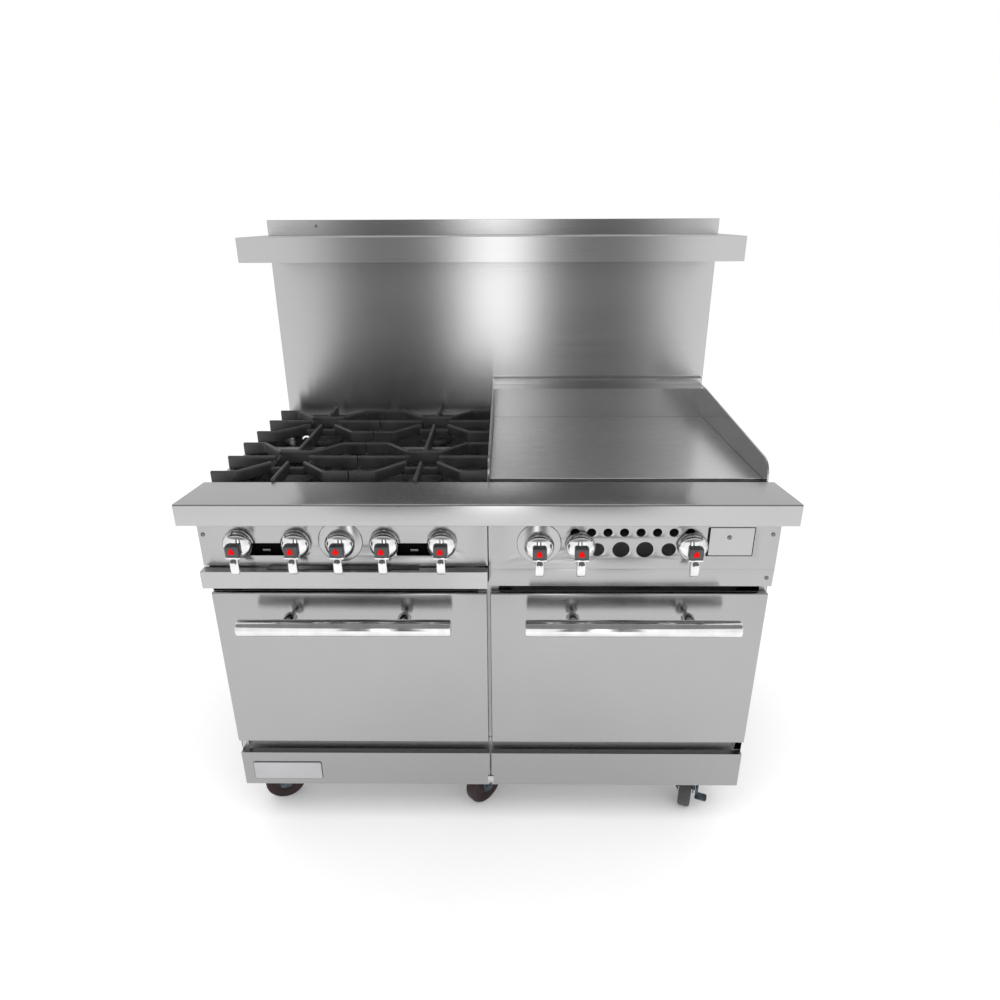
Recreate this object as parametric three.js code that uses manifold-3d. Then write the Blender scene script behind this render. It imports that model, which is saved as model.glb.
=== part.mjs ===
// Commercial gas range, 48 in wide: four open burners, a 24 in griddle and two ovens on casters.
// Millimetres, +Z up. X runs from the cook's left to right, +Y towards the wall.
// The origin is on the floor, under the middle of the range's outer box.

import * as THREE from 'three';
import { mergeVertices } from 'three/addons/utils/BufferGeometryUtils.js';
import Module from 'manifold-3d';

const wasm = await Module();
wasm.setup();

// ---------- driving dimensions ----------

const WIDTH = 1219.2; // 48 in
const DEPTH = 825.5; // 32.5 in
const WORK_HEIGHT = 925; // top of the front ledge
const RISER_HEIGHT = 1433; // top of the backguard
const HALF = WIDTH / 2;
const SHEET = 2.5; // folded stainless sheet, drawn a little thick
const GAP = 0.4; // clearance between pieces that touch
const SEGMENTS = 18; // sides of a round piece

const LEDGE_DEPTH = 126;
const LEDGE_FACE = 46;
const LEDGE_TAPER = 13; // how much narrower each end is at the back
const PANEL_SETBACK = 82; // control panel's face behind the ledge's face
const DOOR_SETBACK = 87;
const KICK_SETBACK = 88;
const FRAME_SETBACK = 104; // front edge of the body behind the doors
const BACKGUARD_SETBACK = 776;

const PANEL_BOTTOM_RIGHT = 700;
const PANEL_BOTTOM_LEFT = 749.5;
const TRAY_TOP = 747;
const TRAY_BOTTOM = 707;
const DOOR_TOP = 680;
const DOOR_BOTTOM = 270;
const DOOR_RIM = 12.5; // depth of the door's outer pan
const KICK_TOP = 235;
const KICK_BOTTOM = 137.5;
const SIDE_TOP = 897; // side panel's top edge, under the grates' outer ends
const BODY_BACK = 814; // side panels end here, measured behind the ledge's face

const CAVITY_WIDTH = 508; // 20 in oven
const CAVITY_DEPTH = 645;
const CAVITY_FLOOR = 290;
const CAVITY_ROOF = 650;
const OVEN_CENTRE = 306;
const RACK_HEIGHT = 455;

const GRATE_SIZE = 299.5;
const GRATE_TOP = 931;
const GRATE_BOTTOM = 901;
const GRATE_FRONT_SETBACK = 129;
const GRATE_LEFT = -604;
const GRATE_PITCH = 300.5;
const BAR_PITCH = 101.6; // 4 in between the grate bars

const PLATE_TOP = 905;
const PLATE_THICKNESS = 20;
const PLATE_FRONT_SETBACK = 200;
const PLATE_BACK_SETBACK = 706;
const SPLASH_LEFT = -2;
const SPLASH_RIGHT = 604;
const SPLASH_WALL = 4;
const SPLASH_BACK_TOP = 987;
const SPLASH_FRONT_TOP = 953;

const KNOB_HEIGHT_LEFT = 804;
const KNOB_HEIGHT_RIGHT = 799;
const KNOBS = [-526, -405, -311, -218, -97, 107.5, 194, 428];
const SKIRT_RADIUS = 32;
const LEVER_REACH = 55;
const STEM_RADIUS = 5;

const HANDLE_LENGTH = 456;
const HANDLE_RADIUS = 18;
const HANDLE_STANDOFF = 64;
const HANDLE_HEIGHT = 632;
const POST_OFFSET = 124;

const SHELF_SETBACK = 525;
const SHELF_TOP = 1395;
const SHELF_FACE = 57;

const WHEEL_RADIUS = 50.8; // 4 in wheel
const WHEEL_WIDTH = 30;
const AXLE_RADIUS = 6;
const CASTER_TRAIL = 32;
const CASTER_X = 522;
const CASTER_FRONT_SETBACK = 205;
const CASTER_BACK_SETBACK = 740;
const DECK_BOTTOM = 150;

const MANIFOLD_SETBACK = 128;
const MANIFOLD_RADIUS = 13;
const MANIFOLD_HEIGHT = 802;
const SUPPLY_X = -580; // where the gas supply comes through the back

const DRAWER_LEFT = 464;
const DRAWER_RIGHT = 556;
const DRAWER_BOTTOM = 775;
const DRAWER_TOP = 839;

// ---------- materials ----------

function finish(color, metalness, roughness) {
  return new THREE.MeshStandardMaterial({ color, metalness, roughness });
}

const STAINLESS = finish(0xb9bbbd, 1, 0.35);
const ALUMINISED = finish(0x8d9092, 0.9, 0.5);
const CHROME = finish(0xd8dadc, 1, 0.12);
const CAST_IRON = finish(0x2c2d2f, 0.4, 0.7);
const GRIDDLE_STEEL = finish(0xa2a4a6, 1, 0.3);
const BLACK_PIPE = finish(0x2a2a2b, 0.6, 0.6);
const ZINC = finish(0x8f9599, 0.9, 0.4);
const MAROON_WHEEL = finish(0x4b1420, 0, 0.5);
const GREY_WHEEL = finish(0x3c3e40, 0, 0.6);
const BLACK_PAINT = finish(0x222426, 0.3, 0.6);

// ---------- solids from three.js geometry ----------

// Y of a plane that lies this far behind the ledge's front face.
const behind = (setback) => setback - DEPTH / 2;

function solidOf(geometry) {
  const bare = geometry.clone();
  bare.deleteAttribute('normal');
  bare.deleteAttribute('uv');
  const merged = mergeVertices(bare, 1e-4);
  const vertProperties = new Float32Array(merged.attributes.position.array);
  const triVerts = new Uint32Array(merged.index.array);
  return new wasm.Manifold(new wasm.Mesh({ numProp: 3, vertProperties, triVerts }));
}

function union(...solids) {
  return solids.flat().reduce((sum, solid) => sum.add(solid));
}

function box(x0, x1, y0, y1, z0, z1) {
  const geometry = new THREE.BoxGeometry(x1 - x0, y1 - y0, z1 - z0);
  geometry.translate((x0 + x1) / 2, (y0 + y1) / 2, (z0 + z1) / 2);
  return solidOf(geometry);
}

// A box with everything inside it taken out, open towards one side: 'front', 'top', 'back' or 'bottom'.
function pan(x0, x1, y0, y1, z0, z1, open, wall = SHEET) {
  const reach = wall * 2;
  const front = open === 'front' ? y0 - reach : y0 + wall;
  const back = open === 'back' ? y1 + reach : y1 - wall;
  const bottom = open === 'bottom' ? z0 - reach : z0 + wall;
  const top = open === 'top' ? z1 + reach : z1 - wall;
  return box(x0, x1, y0, y1, z0, z1).subtract(box(x0 + wall, x1 - wall, front, back, bottom, top));
}

// A round bar between two points.
function rod(from, to, radius, sides = 12) {
  const a = new THREE.Vector3(...from);
  const b = new THREE.Vector3(...to);
  const along = b.clone().sub(a);
  const geometry = new THREE.CylinderGeometry(radius, radius, along.length(), sides);
  const turn = new THREE.Quaternion().setFromUnitVectors(new THREE.Vector3(0, 1, 0), along.normalize());
  geometry.applyQuaternion(turn);
  const middle = a.add(b).multiplyScalar(0.5);
  geometry.translate(middle.x, middle.y, middle.z);
  return solidOf(geometry);
}

// A turned piece. Its profile holds [radius, distance along the axis]; the axis is 'y' or 'z'.
function turned(profile, axis, x, y, z, sides = SEGMENTS) {
  const points = profile.map(([radius, along]) => new THREE.Vector2(radius, along));
  const geometry = new THREE.LatheGeometry(points, sides);
  if (axis === 'z') geometry.rotateX(Math.PI / 2);
  geometry.translate(x, y, z);
  const solid = solidOf(geometry);
  return solid.volume() < 0 ? solidOf(flipped(geometry)) : solid;
}

function flipped(geometry) {
  const copy = geometry.clone();
  const order = copy.index.array;
  for (let i = 0; i < order.length; i += 3) {
    [order[i + 1], order[i + 2]] = [order[i + 2], order[i + 1]];
  }
  return copy;
}

// A profile drawn as [Y, Z] points and drawn out along X.
function foldedAlongX(profile, x0, x1) {
  const shape = new THREE.Shape(profile.map(([y, z]) => new THREE.Vector2(y, z)));
  const geometry = new THREE.ExtrudeGeometry(shape, { depth: x1 - x0, bevelEnabled: false });
  geometry.applyMatrix4(new THREE.Matrix4().set(0, 0, 1, x0, 1, 0, 0, 0, 0, 1, 0, 0, 0, 0, 0, 1));
  return solidOf(geometry);
}

// A plan outline of [X, Y] points, raised from z0 to z1.
function raised(outline, z0, z1) {
  const shape = new THREE.Shape(outline.map(([x, y]) => new THREE.Vector2(x, y)));
  const geometry = new THREE.ExtrudeGeometry(shape, { depth: z1 - z0, bevelEnabled: false });
  geometry.translate(0, 0, z0);
  return solidOf(geometry);
}

function moved(solid, x, y, z, turn = 0) {
  return solid.rotate([0, 0, turn]).translate([x, y, z]);
}

const range = new THREE.Group();

function addMesh(name, solid, material) {
  const { numProp, vertProperties, triVerts } = solid.getMesh();
  const geometry = new THREE.BufferGeometry();
  const position = new Float32Array((vertProperties.length / numProp) * 3);
  for (let i = 0; i < position.length / 3; i++) {
    for (let k = 0; k < 3; k++) position[i * 3 + k] = vertProperties[i * numProp + k];
  }
  geometry.setAttribute('position', new THREE.BufferAttribute(position, 3));
  geometry.setIndex(new THREE.BufferAttribute(new Uint32Array(triVerts), 1));
  geometry.computeVertexNormals();
  const mesh = new THREE.Mesh(geometry, material);
  mesh.name = name;
  range.add(mesh);
}

// ---------- body ----------

const FLANGE = 18; // the frame edges that show beside the doors
const APRON_TOP = 262; // top of the base frame's front, seen between the doors and the kick panels

function sidePanel(side) {
  const outer = side * HALF;
  const inner = side * (HALF - SHEET);
  const flangeEdge = side * (HALF - FLANGE);
  const wall = [Math.min(outer, inner), Math.max(outer, inner)];
  const edge = [Math.min(outer, flangeEdge), Math.max(outer, flangeEdge)];
  const front = behind(FRAME_SETBACK);
  const back = behind(BODY_BACK);
  const plate = box(wall[0], wall[1], front, back, KICK_BOTTOM, SIDE_TOP);
  const frontFlange = box(edge[0], edge[1], front, front + SHEET, KICK_TOP + GAP, PANEL_BOTTOM_RIGHT);
  const backFlange = box(edge[0], edge[1], back - SHEET, back, KICK_TOP, SIDE_TOP - 2);
  return union(plate, frontFlange, backFlange);
}

function backPanel() {
  const y0 = behind(BODY_BACK) + GAP;
  const sheet = box(-HALF, HALF, y0, y0 + SHEET, KICK_BOTTOM, SIDE_TOP - 2);
  const z = MANIFOLD_HEIGHT;
  const supplyHole = rod([SUPPLY_X, y0 - 5, z], [SUPPLY_X, y0 + SHEET + 5, z], 14);
  return sheet.subtract(supplyHole);
}

function baseFrame() {
  const x = HALF - SHEET - GAP;
  const front = behind(FRAME_SETBACK) + 8;
  const back = behind(BODY_BACK) - SHEET - GAP;
  const deck = box(-x, x, front, back, DECK_BOTTOM, DECK_BOTTOM + SHEET);
  const frontLip = box(-x, x, front, front + SHEET, DECK_BOTTOM, APRON_TOP);
  const backLip = box(-x, x, back - SHEET, back, DECK_BOTTOM, DECK_BOTTOM + 30);
  const pads = casterPlaces().map(({ px, py }) => (
    box(px - 48, px + 48, py - 42, py + 42, DECK_BOTTOM - 4, DECK_BOTTOM + 0.5)
  ));
  return union(deck, frontLip, backLip, pads);
}

function centrePost() {
  const front = behind(FRAME_SETBACK);
  const back = behind(BODY_BACK) - SHEET - GAP;
  const face = box(-22, 22, front, front + SHEET, DOOR_BOTTOM + 5, PANEL_BOTTOM_RIGHT);
  const web = box(-SHEET / 2, SHEET / 2, front, back, APRON_TOP + 1, PANEL_BOTTOM_RIGHT);
  return face.add(web);
}

// An upright band along the ledge's tapered end, between two distances inwards from its edge.
function endBand(side, from, to) {
  const front = behind(-1);
  const back = behind(LEDGE_DEPTH + 1);
  const outline = [
    [HALF - from, front], [HALF - LEDGE_TAPER - from, back],
    [HALF - LEDGE_TAPER - to, back], [HALF - to, front],
  ].map(([x, y]) => [side * x, y]);
  return raised(outline, WORK_HEIGHT - LEDGE_FACE - 5, WORK_HEIGHT + 5);
}

function frontLedge() {
  const top = WORK_HEIGHT;
  const t = SHEET;
  const face = 4; // the front corner's roll
  const profile = [
    [behind(0), top - face], [behind(face), top], [behind(LEDGE_DEPTH), top], [behind(LEDGE_DEPTH), top - 14],
    [behind(LEDGE_DEPTH - t), top - 14], [behind(LEDGE_DEPTH - t), top - t], [behind(face + 1), top - t],
    [behind(t), top - face - 1], [behind(t), top - LEDGE_FACE + t], [behind(26), top - LEDGE_FACE + t],
    [behind(26), top - LEDGE_FACE], [behind(0), top - LEDGE_FACE],
  ];
  const shell = foldedAlongX(profile, -HALF, HALF);
  const endProfile = foldedAlongX([
    [behind(t / 2), top - LEDGE_FACE + 1], [behind(t / 2), top - face], [behind(face), top - 1],
    [behind(LEDGE_DEPTH - 1), top - 1], [behind(LEDGE_DEPTH - 1), top - 12],
    [behind(PANEL_SETBACK), top - 20], [behind(25), top - LEDGE_FACE + 1],
  ], -HALF, HALF);
  const ends = [-1, 1].map((side) => endProfile.intersect(endBand(side, 0, t)));
  return union(shell.subtract(union(endBand(-1, -20, 0), endBand(1, -20, 0))), ...ends);
}

// ---------- control panels ----------

const HAND_SLOT = [-471, -146];

const WINDOWS = [[-512, -432], [-194, -116]]; // lighting windows of the left panel
const WINDOW_BOTTOM = 774;
const WINDOW_TOP = 803;

const SMALL_VENTS = { count: 8, left: 182, pitch: 34.4, height: 828, radius: 9.5 };
const LARGE_VENTS = { radii: [15, 18, 18, 15], left: 230, pitch: 50.2, height: 788.5 };

function panelSheet(x0, x1, bottom, outerSide) {
  const top = WORK_HEIGHT - LEDGE_FACE - 2;
  const y = behind(PANEL_SETBACK);
  const depth = FRAME_SETBACK - PANEL_SETBACK - GAP;
  const face = box(x0, x1, y, y + SHEET, bottom, top);
  const topReturn = box(x0, x1, y, y + depth, top - SHEET, top);
  const endReturn = outerSide < 0
    ? box(x0, x0 + SHEET, y, y + depth, bottom, top)
    : box(x1 - SHEET, x1, y, y + depth, bottom, top);
  return union(face, topReturn, endReturn);
}

function through(x0, x1, z0, z1) {
  const y = behind(PANEL_SETBACK);
  return box(x0, x1, y - 5, y + SHEET + 5, z0, z1);
}

function throughRound(x, z, radius) {
  const y = behind(PANEL_SETBACK);
  return rod([x, y - 5, z], [x, y + SHEET + 5, z], radius, radius > 12 ? 16 : 12);
}

const knobHeight = (x) => (x < 0 ? KNOB_HEIGHT_LEFT : KNOB_HEIGHT_RIGHT);

function stemHoles(panel, isHere) {
  const holes = KNOBS.filter(isHere).map((x) => throughRound(x, knobHeight(x), STEM_RADIUS + 3));
  return panel.subtract(union(holes));
}

function controlPanelLeft() {
  const sheet = panelSheet(-HALF, -1, PANEL_BOTTOM_LEFT, -1);
  const windows = WINDOWS.map(([x0, x1]) => through(x0, x1, WINDOW_BOTTOM, WINDOW_TOP));
  return stemHoles(sheet.subtract(union(windows)), (x) => x < 0);
}

function controlPanelRight() {
  const sheet = panelSheet(1, HALF, PANEL_BOTTOM_RIGHT, 1);
  const small = Array.from({ length: SMALL_VENTS.count }, (_, i) => (
    throughRound(SMALL_VENTS.left + i * SMALL_VENTS.pitch, SMALL_VENTS.height, SMALL_VENTS.radius)
  ));
  const large = LARGE_VENTS.radii.map((radius, i) => (
    throughRound(LARGE_VENTS.left + i * LARGE_VENTS.pitch, LARGE_VENTS.height, radius)
  ));
  const drawerHole = through(DRAWER_LEFT - 5, DRAWER_RIGHT + 1.5, DRAWER_BOTTOM - 1.5, DRAWER_TOP + 1.5);
  return stemHoles(sheet.subtract(union(small, large, drawerHole)), (x) => x > 0);
}

function kickPanel(x0, x1) {
  const y = behind(KICK_SETBACK);
  const face = box(x0, x1, y, y + SHEET, KICK_BOTTOM, KICK_TOP);
  const topReturn = box(x0, x1, y, y + 15, KICK_TOP - SHEET, KICK_TOP);
  const bottomReturn = box(x0, x1, y, y + 15, KICK_BOTTOM, KICK_BOTTOM + SHEET);
  return union(face, topReturn, bottomReturn);
}

// ---------- back ----------

function backguard() {
  const face = behind(BACKGUARD_SETBACK);
  const back = DEPTH / 2;
  const x = HALF;
  const base = SIDE_TOP + GAP;
  const shell = pan(-x, x, face, back, base, RISER_HEIGHT, 'back')
    .subtract(box(-x + SHEET, x - SHEET, face + SHEET, back, base - 1, base + SHEET + 1));
  const slotCount = 9;
  const slots = Array.from({ length: slotCount }, (_, i) => {
    const centre = (i - (slotCount - 1) / 2) * 120;
    return box(centre - 45, centre + 45, face + 18, face + 34, RISER_HEIGHT - 8, RISER_HEIGHT + 5);
  });
  return shell.subtract(union(slots));
}

function highShelf() {
  const front = behind(SHELF_SETBACK);
  const back = behind(BACKGUARD_SETBACK) - GAP;
  const bottom = SHELF_TOP - SHELF_FACE;
  const x = 608;
  const top = box(-x, x, front, back, SHELF_TOP - SHEET, SHELF_TOP);
  const face = box(-x, x, front, front + SHEET, bottom, SHELF_TOP);
  const lip = box(-x, x, front, front + 22, bottom, bottom + SHEET);
  const backReturn = box(-x, x, back - SHEET, back, bottom, SHELF_TOP);
  const end = box(-x, -x + SHEET, front + 1, back - 1, bottom + 1, SHELF_TOP - 1);
  return union(top, face, lip, backReturn, end, end.translate([2 * x - SHEET, 0, 0]));
}

// ---------- ovens ----------

function ovenLiner(centre) {
  const half = CAVITY_WIDTH / 2;
  const front = behind(FRAME_SETBACK);
  const shell = pan(centre - half - SHEET, centre + half + SHEET, front, front + CAVITY_DEPTH,
    CAVITY_FLOOR - SHEET, CAVITY_ROOF + SHEET, 'front');
  const flangeHalf = 282;
  const mouth = box(centre - half, centre + half, front - 1, front + SHEET + 1, CAVITY_FLOOR, CAVITY_ROOF);
  const flange = box(centre - flangeHalf, centre + flangeHalf, front, front + SHEET,
    DOOR_BOTTOM + 4, DOOR_TOP - 4).subtract(mouth);
  const guides = [-1, 1].flatMap((side) => [RACK_HEIGHT - 12, RACK_HEIGHT + 70].map((z) => {
    const wall = centre + side * (half + 0.5);
    const tip = centre + side * (half - 12);
    return box(Math.min(wall, tip), Math.max(wall, tip), front + 40, front + CAVITY_DEPTH - 20, z, z + 3);
  }));
  return union(shell, flange, guides);
}

function ovenRack(centre) {
  const half = CAVITY_WIDTH / 2 - 6;
  const front = behind(FRAME_SETBACK) + 45;
  const back = front + 580;
  const z = RACK_HEIGHT - 12 + 3 + GAP + 4;
  const frame = [
    rod([centre - half, front, z], [centre + half, front, z], 4, 6),
    rod([centre - half, back, z], [centre + half, back, z], 4, 6),
    rod([centre - half + 3, front - 2, z], [centre - half + 3, back + 2, z], 4, 6),
    rod([centre + half - 3, front - 2, z], [centre + half - 3, back + 2, z], 4, 6),
    rod([centre - half, (front + back) / 2, z], [centre + half, (front + back) / 2, z], 3, 4),
  ];
  const wireCount = 11;
  const pitch = (2 * half) / (wireCount + 1);
  const wires = Array.from({ length: wireCount }, (_, i) => {
    const x = centre - half + (i + 1) * pitch;
    return rod([x, front, z + 2.5], [x, back, z + 2.5], 2.5, 4);
  });
  return union(frame, wires);
}

function ovenBurner(centre) {
  const z = 232;
  const front = behind(150);
  const tube = rod([centre, front, z], [centre, front + 520, z], 16, 12);
  const elbow = rod([centre, front + 12, z], [centre, front + 12, 196], 11, 8);
  const mixer = turned([[0, 0], [22, 0], [22, 20], [16, 40], [0, 40]], 'y', centre, front - 22, z, 12);
  const foot = box(centre - 30, centre + 30, front + 470, front + 490, DECK_BOTTOM + SHEET + GAP, z - 8);
  const baffle = box(centre - 55, centre + 55, front + 60, front + 480, z + 13, z + 16);
  return union(tube, elbow, mixer, foot, baffle);
}

// ---------- gas train ----------

function gasManifold() {
  const y = behind(MANIFOLD_SETBACK);
  const z = MANIFOLD_HEIGHT;
  const pipe = rod([SUPPLY_X - 12, y, z], [445, y, z], MANIFOLD_RADIUS, 10);
  const bodies = KNOBS.map((x) => rod([x, behind(103), knobHeight(x)], [x, y, z], 11, 8));
  const supply = rod([SUPPLY_X, y, z], [SUPPLY_X, behind(BODY_BACK) - 1, z], 10, 10);
  return union(pipe, bodies, supply);
}

const grateCentreX = (column) => GRATE_LEFT + GRATE_SIZE / 2 + column * GRATE_PITCH;
const grateCentreY = (row) => behind(GRATE_FRONT_SETBACK + GRATE_SIZE / 2 + row * GRATE_PITCH);

function openBurner(column, row) {
  const x = grateCentreX(column);
  const y = grateCentreY(row);
  const head = turned([
    [0, 855], [24, 855], [28, 862], [46, 872], [46, 882], [42, 888], [14, 892], [0, 892],
  ], 'z', x, y, 0, 16);
  const bowl = turned([[0, 826], [26, 826], [34, 836], [34, 856], [0, 856]], 'z', x, y, 0, 10);
  const tubeX = row === 0 ? x - 58 : x + 58;
  const tubeFront = behind(MANIFOLD_SETBACK + 30);
  const throat = rod([tubeX, tubeFront, 838], [tubeX, y, 838], 13, 8);
  const arm = rod([tubeX, y - 4, 838], [x, y - 4, 838], 12, 8);
  const horn = turned([[0, 0], [19, 0], [13, 26], [0, 26]], 'y', tubeX, tubeFront - 2, 838, 8);
  return union(head, bowl, throat, arm, horn);
}

function burnerBox() {
  const x0 = -HALF + SHEET + GAP;
  const x1 = SPLASH_LEFT - GAP;
  const y0 = behind(LEDGE_DEPTH) + GAP;
  const y1 = behind(BACKGUARD_SETBACK) - GAP;
  const top = GRATE_BOTTOM - GAP;
  const bottom = top - 30;
  const ledge = 16;
  const wall = box(x0, x1, y0, y1, bottom, top)
    .subtract(box(x0 + SHEET, x1 - SHEET, y0 + SHEET, y1 - 30, bottom - 1, top + 1));
  const step = box(x0, x1, y0, y1, top - SHEET, top)
    .subtract(box(x0 + ledge, x1 - ledge, y0 + ledge, y1 - 30, top - 10, top + 1));
  const middleX = grateCentreX(0) + GRATE_PITCH / 2;
  const middleY = (grateCentreY(0) + grateCentreY(1)) / 2;
  const rails = union(
    box(middleX - 10, middleX + 10, y0 + 1, y1 - 10, top - SHEET, top),
    box(x0 + 1, x1 - 1, middleY - 10, middleY + 10, top - SHEET, top),
  );
  return union(wall, step, rails);
}

// ---------- grates ----------

function bar(x0, y0, x1, y1, width) {
  const dx = x1 - x0;
  const dy = y1 - y0;
  const length = Math.hypot(dx, dy);
  const nx = (-dy / length) * (width / 2);
  const ny = (dx / length) * (width / 2);
  return raised([
    [x0 + nx, y0 + ny], [x0 - nx, y0 - ny], [x1 - nx, y1 - ny], [x1 + nx, y1 + ny],
  ], GRATE_BOTTOM, GRATE_TOP);
}

// Fingers run in from each side to a square opening over the burner, and the corner ones bend towards it.
function grate(column, row) {
  const half = GRATE_SIZE / 2;
  const width = 9;
  const openingHalf = 37;
  const rimHalf = 44;
  const rimMiddle = (openingHalf + rimHalf) / 2;
  const bend = 95; // where a corner finger leaves its straight stretch
  const rim = box(-rimHalf, rimHalf, -rimHalf, rimHalf, GRATE_BOTTOM, GRATE_TOP - 13)
    .subtract(box(-openingHalf, openingHalf, -openingHalf, openingHalf, GRATE_BOTTOM - 1, GRATE_TOP));
  const pieces = [rim];
  for (const side of [-1, 1]) {
    pieces.push(bar(side * rimMiddle, 0, side * half, 0, width));
    pieces.push(bar(0, side * rimMiddle, 0, side * half, width));
    for (const end of [-1, 1]) {
      pieces.push(bar(side * half, end * BAR_PITCH, side * (bend - 2), end * BAR_PITCH, width));
      pieces.push(bar(side * bend, end * BAR_PITCH, side * rimMiddle, end * rimMiddle, width));
    }
  }
  return moved(union(pieces), grateCentreX(column), grateCentreY(row), 0);
}

// ---------- griddle ----------

function griddlePlate() {
  return box(SPLASH_LEFT + SPLASH_WALL + GAP, SPLASH_RIGHT - SPLASH_WALL - GAP, behind(PLATE_FRONT_SETBACK),
    behind(PLATE_BACK_SETBACK), PLATE_TOP - PLATE_THICKNESS, PLATE_TOP);
}

function griddleSplash() {
  const troughFront = behind(LEDGE_DEPTH) + GAP;
  const troughBottom = 856;
  const plateBottom = PLATE_TOP - PLATE_THICKNESS;
  const troughBack = behind(PLATE_FRONT_SETBACK) - 1;
  const roundFrom = behind(210);
  const noseY = behind(172);
  const wallBack = behind(BACKGUARD_SETBACK) - GAP;
  const wallTop = SPLASH_BACK_TOP + 1; // the end walls stand just proud of the cap between them
  const noseRadius = 38;
  const nose = Array.from({ length: 7 }, (_, i) => {
    const angle = (i / 6) * (Math.PI / 2);
    return [
      roundFrom - Math.sin(angle) * (roundFrom - noseY),
      SPLASH_FRONT_TOP - noseRadius * (1 - Math.cos(angle)),
    ];
  });
  const wallProfile = [
    [troughFront, troughBottom], [troughFront, PLATE_TOP + 2], [noseY, PLATE_TOP + 2],
    ...nose.reverse(),
    [behind(PLATE_BACK_SETBACK - 3), wallTop], [wallBack - 0.5, wallTop], [wallBack - 0.5, troughBottom],
  ];
  const leftWall = foldedAlongX(wallProfile, SPLASH_LEFT, SPLASH_LEFT + SPLASH_WALL);
  const rightWall = foldedAlongX(wallProfile, SPLASH_RIGHT - SPLASH_WALL, SPLASH_RIGHT);
  const capStep = behind(758);
  const capFront = behind(PLATE_BACK_SETBACK) + GAP;
  const cap = SPLASH_BACK_TOP;
  const backWall = foldedAlongX([
    [capFront, plateBottom], [capFront, cap], [capStep, cap], [capStep, cap + 18], [wallBack, cap + 20],
    [wallBack, cap + 16], [capStep + 4, cap + 14], [capStep + 4, cap - 4], [capFront + 4, cap - 4],
    [capFront + 4, plateBottom],
  ], SPLASH_LEFT + 1, SPLASH_RIGHT - 1);
  const trough = foldedAlongX([
    [troughFront, PLATE_TOP - 8], [troughFront, troughBottom], [troughBack, troughBottom],
    [troughBack, plateBottom - 2], [troughBack - SHEET, plateBottom - 2],
    [troughBack - SHEET, troughBottom + SHEET], [troughFront + SHEET, troughBottom + SHEET],
    [troughFront + SHEET, PLATE_TOP - 8],
  ], SPLASH_LEFT + 1, SPLASH_RIGHT - 1);
  const drainX = (DRAWER_LEFT + DRAWER_RIGHT) / 2;
  const drainY = (troughFront + troughBack) / 2;
  const spout = rod([drainX, drainY, troughBottom - 8], [drainX, drainY, troughBottom + 1], 24, 20);
  const drain = rod([drainX, drainY, troughBottom - 20], [drainX, drainY, troughBottom + 10], 20, 20);
  return union(leftWall, rightWall, backWall, trough, spout).subtract(drain);
}

function griddleBurner() {
  const z = 850;
  const front = behind(228);
  const back = behind(690);
  const centres = [150, 450];
  const loops = centres.flatMap((x) => [
    rod([x - 70, front, z], [x - 70, back, z], 12, 8),
    rod([x + 70, front, z], [x + 70, back, z], 12, 8),
    rod([x - 70, back - 4, z], [x + 70, back - 4, z], 12, 8),
    rod([x - 70, front + 4, z], [x + 70, front + 4, z], 12, 8),
    rod([x, front, z], [x, front, z - 46], 10, 8),
  ]);
  const carryOver = rod([centres[0] + 70, 0, z], [centres[1] - 70, 0, z], 6, 6);
  return union(loops, carryOver);
}

// ---------- pull-outs ----------

function crumbTray() {
  const front = behind(58);
  const panel = behind(PANEL_SETBACK);
  const faceBar = pan(-HALF, -1, front, panel + 2, TRAY_BOTTOM, TRAY_TOP, 'back')
    .subtract(box(HAND_SLOT[0], HAND_SLOT[1], behind(67), panel + 5, TRAY_TOP - 5, TRAY_TOP + 1));
  const body = pan(-586, -24, behind(79), behind(690), TRAY_BOTTOM + 1, TRAY_TOP - 14, 'top');
  return faceBar.add(body);
}

function greaseDrawer() {
  const front = behind(PANEL_SETBACK);
  const back = behind(250);
  const body = pan(DRAWER_LEFT + 4, DRAWER_RIGHT - 4, front + 1, back,
    DRAWER_BOTTOM + 4, DRAWER_TOP - 6, 'top');
  const face = box(DRAWER_LEFT, DRAWER_RIGHT, front, front + SHEET, DRAWER_BOTTOM, DRAWER_TOP);
  return body.add(face);
}

// ---------- knobs ----------

function knob(x) {
  const z = knobHeight(x);
  const panel = behind(PANEL_SETBACK);
  const proud = (distance) => panel - distance;
  const skirt = turned([
    [0, -3], [SKIRT_RADIUS - 4, -3], [SKIRT_RADIUS, -6], [SKIRT_RADIUS, -15], [SKIRT_RADIUS - 3, -22],
    [SKIRT_RADIUS - 11, -28], [0, -28],
  ], 'y', x, panel, z);
  const stem = rod([x, proud(10), z], [x, behind(102), z], STEM_RADIUS, 8);
  const grip = box(x - 15.5, x + 15.5, proud(44), proud(20), z - 16, z + 14);
  const lever = foldedAlongX([
    [proud(42), z - 10], [proud(44), z - 16], [proud(42), z - LEVER_REACH + 6], [proud(38), z - LEVER_REACH],
    [proud(30), z - LEVER_REACH], [proud(22), z - 26], [proud(20), z - 10],
  ], x - 9, x + 9);
  return union(skirt, stem, grip, lever);
}

// ---------- doors ----------

const DOOR_INNER = 3.5;
const DOOR_OUTER = 608;

function doorSpan(side) {
  return side < 0 ? [-DOOR_OUTER, -DOOR_INNER] : [DOOR_INNER, DOOR_OUTER];
}

function door(side) {
  const [x0, x1] = doorSpan(side);
  const front = behind(DOOR_SETBACK);
  return pan(x0, x1, front, front + DOOR_RIM, DOOR_BOTTOM, DOOR_TOP, 'back', 2);
}

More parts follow.
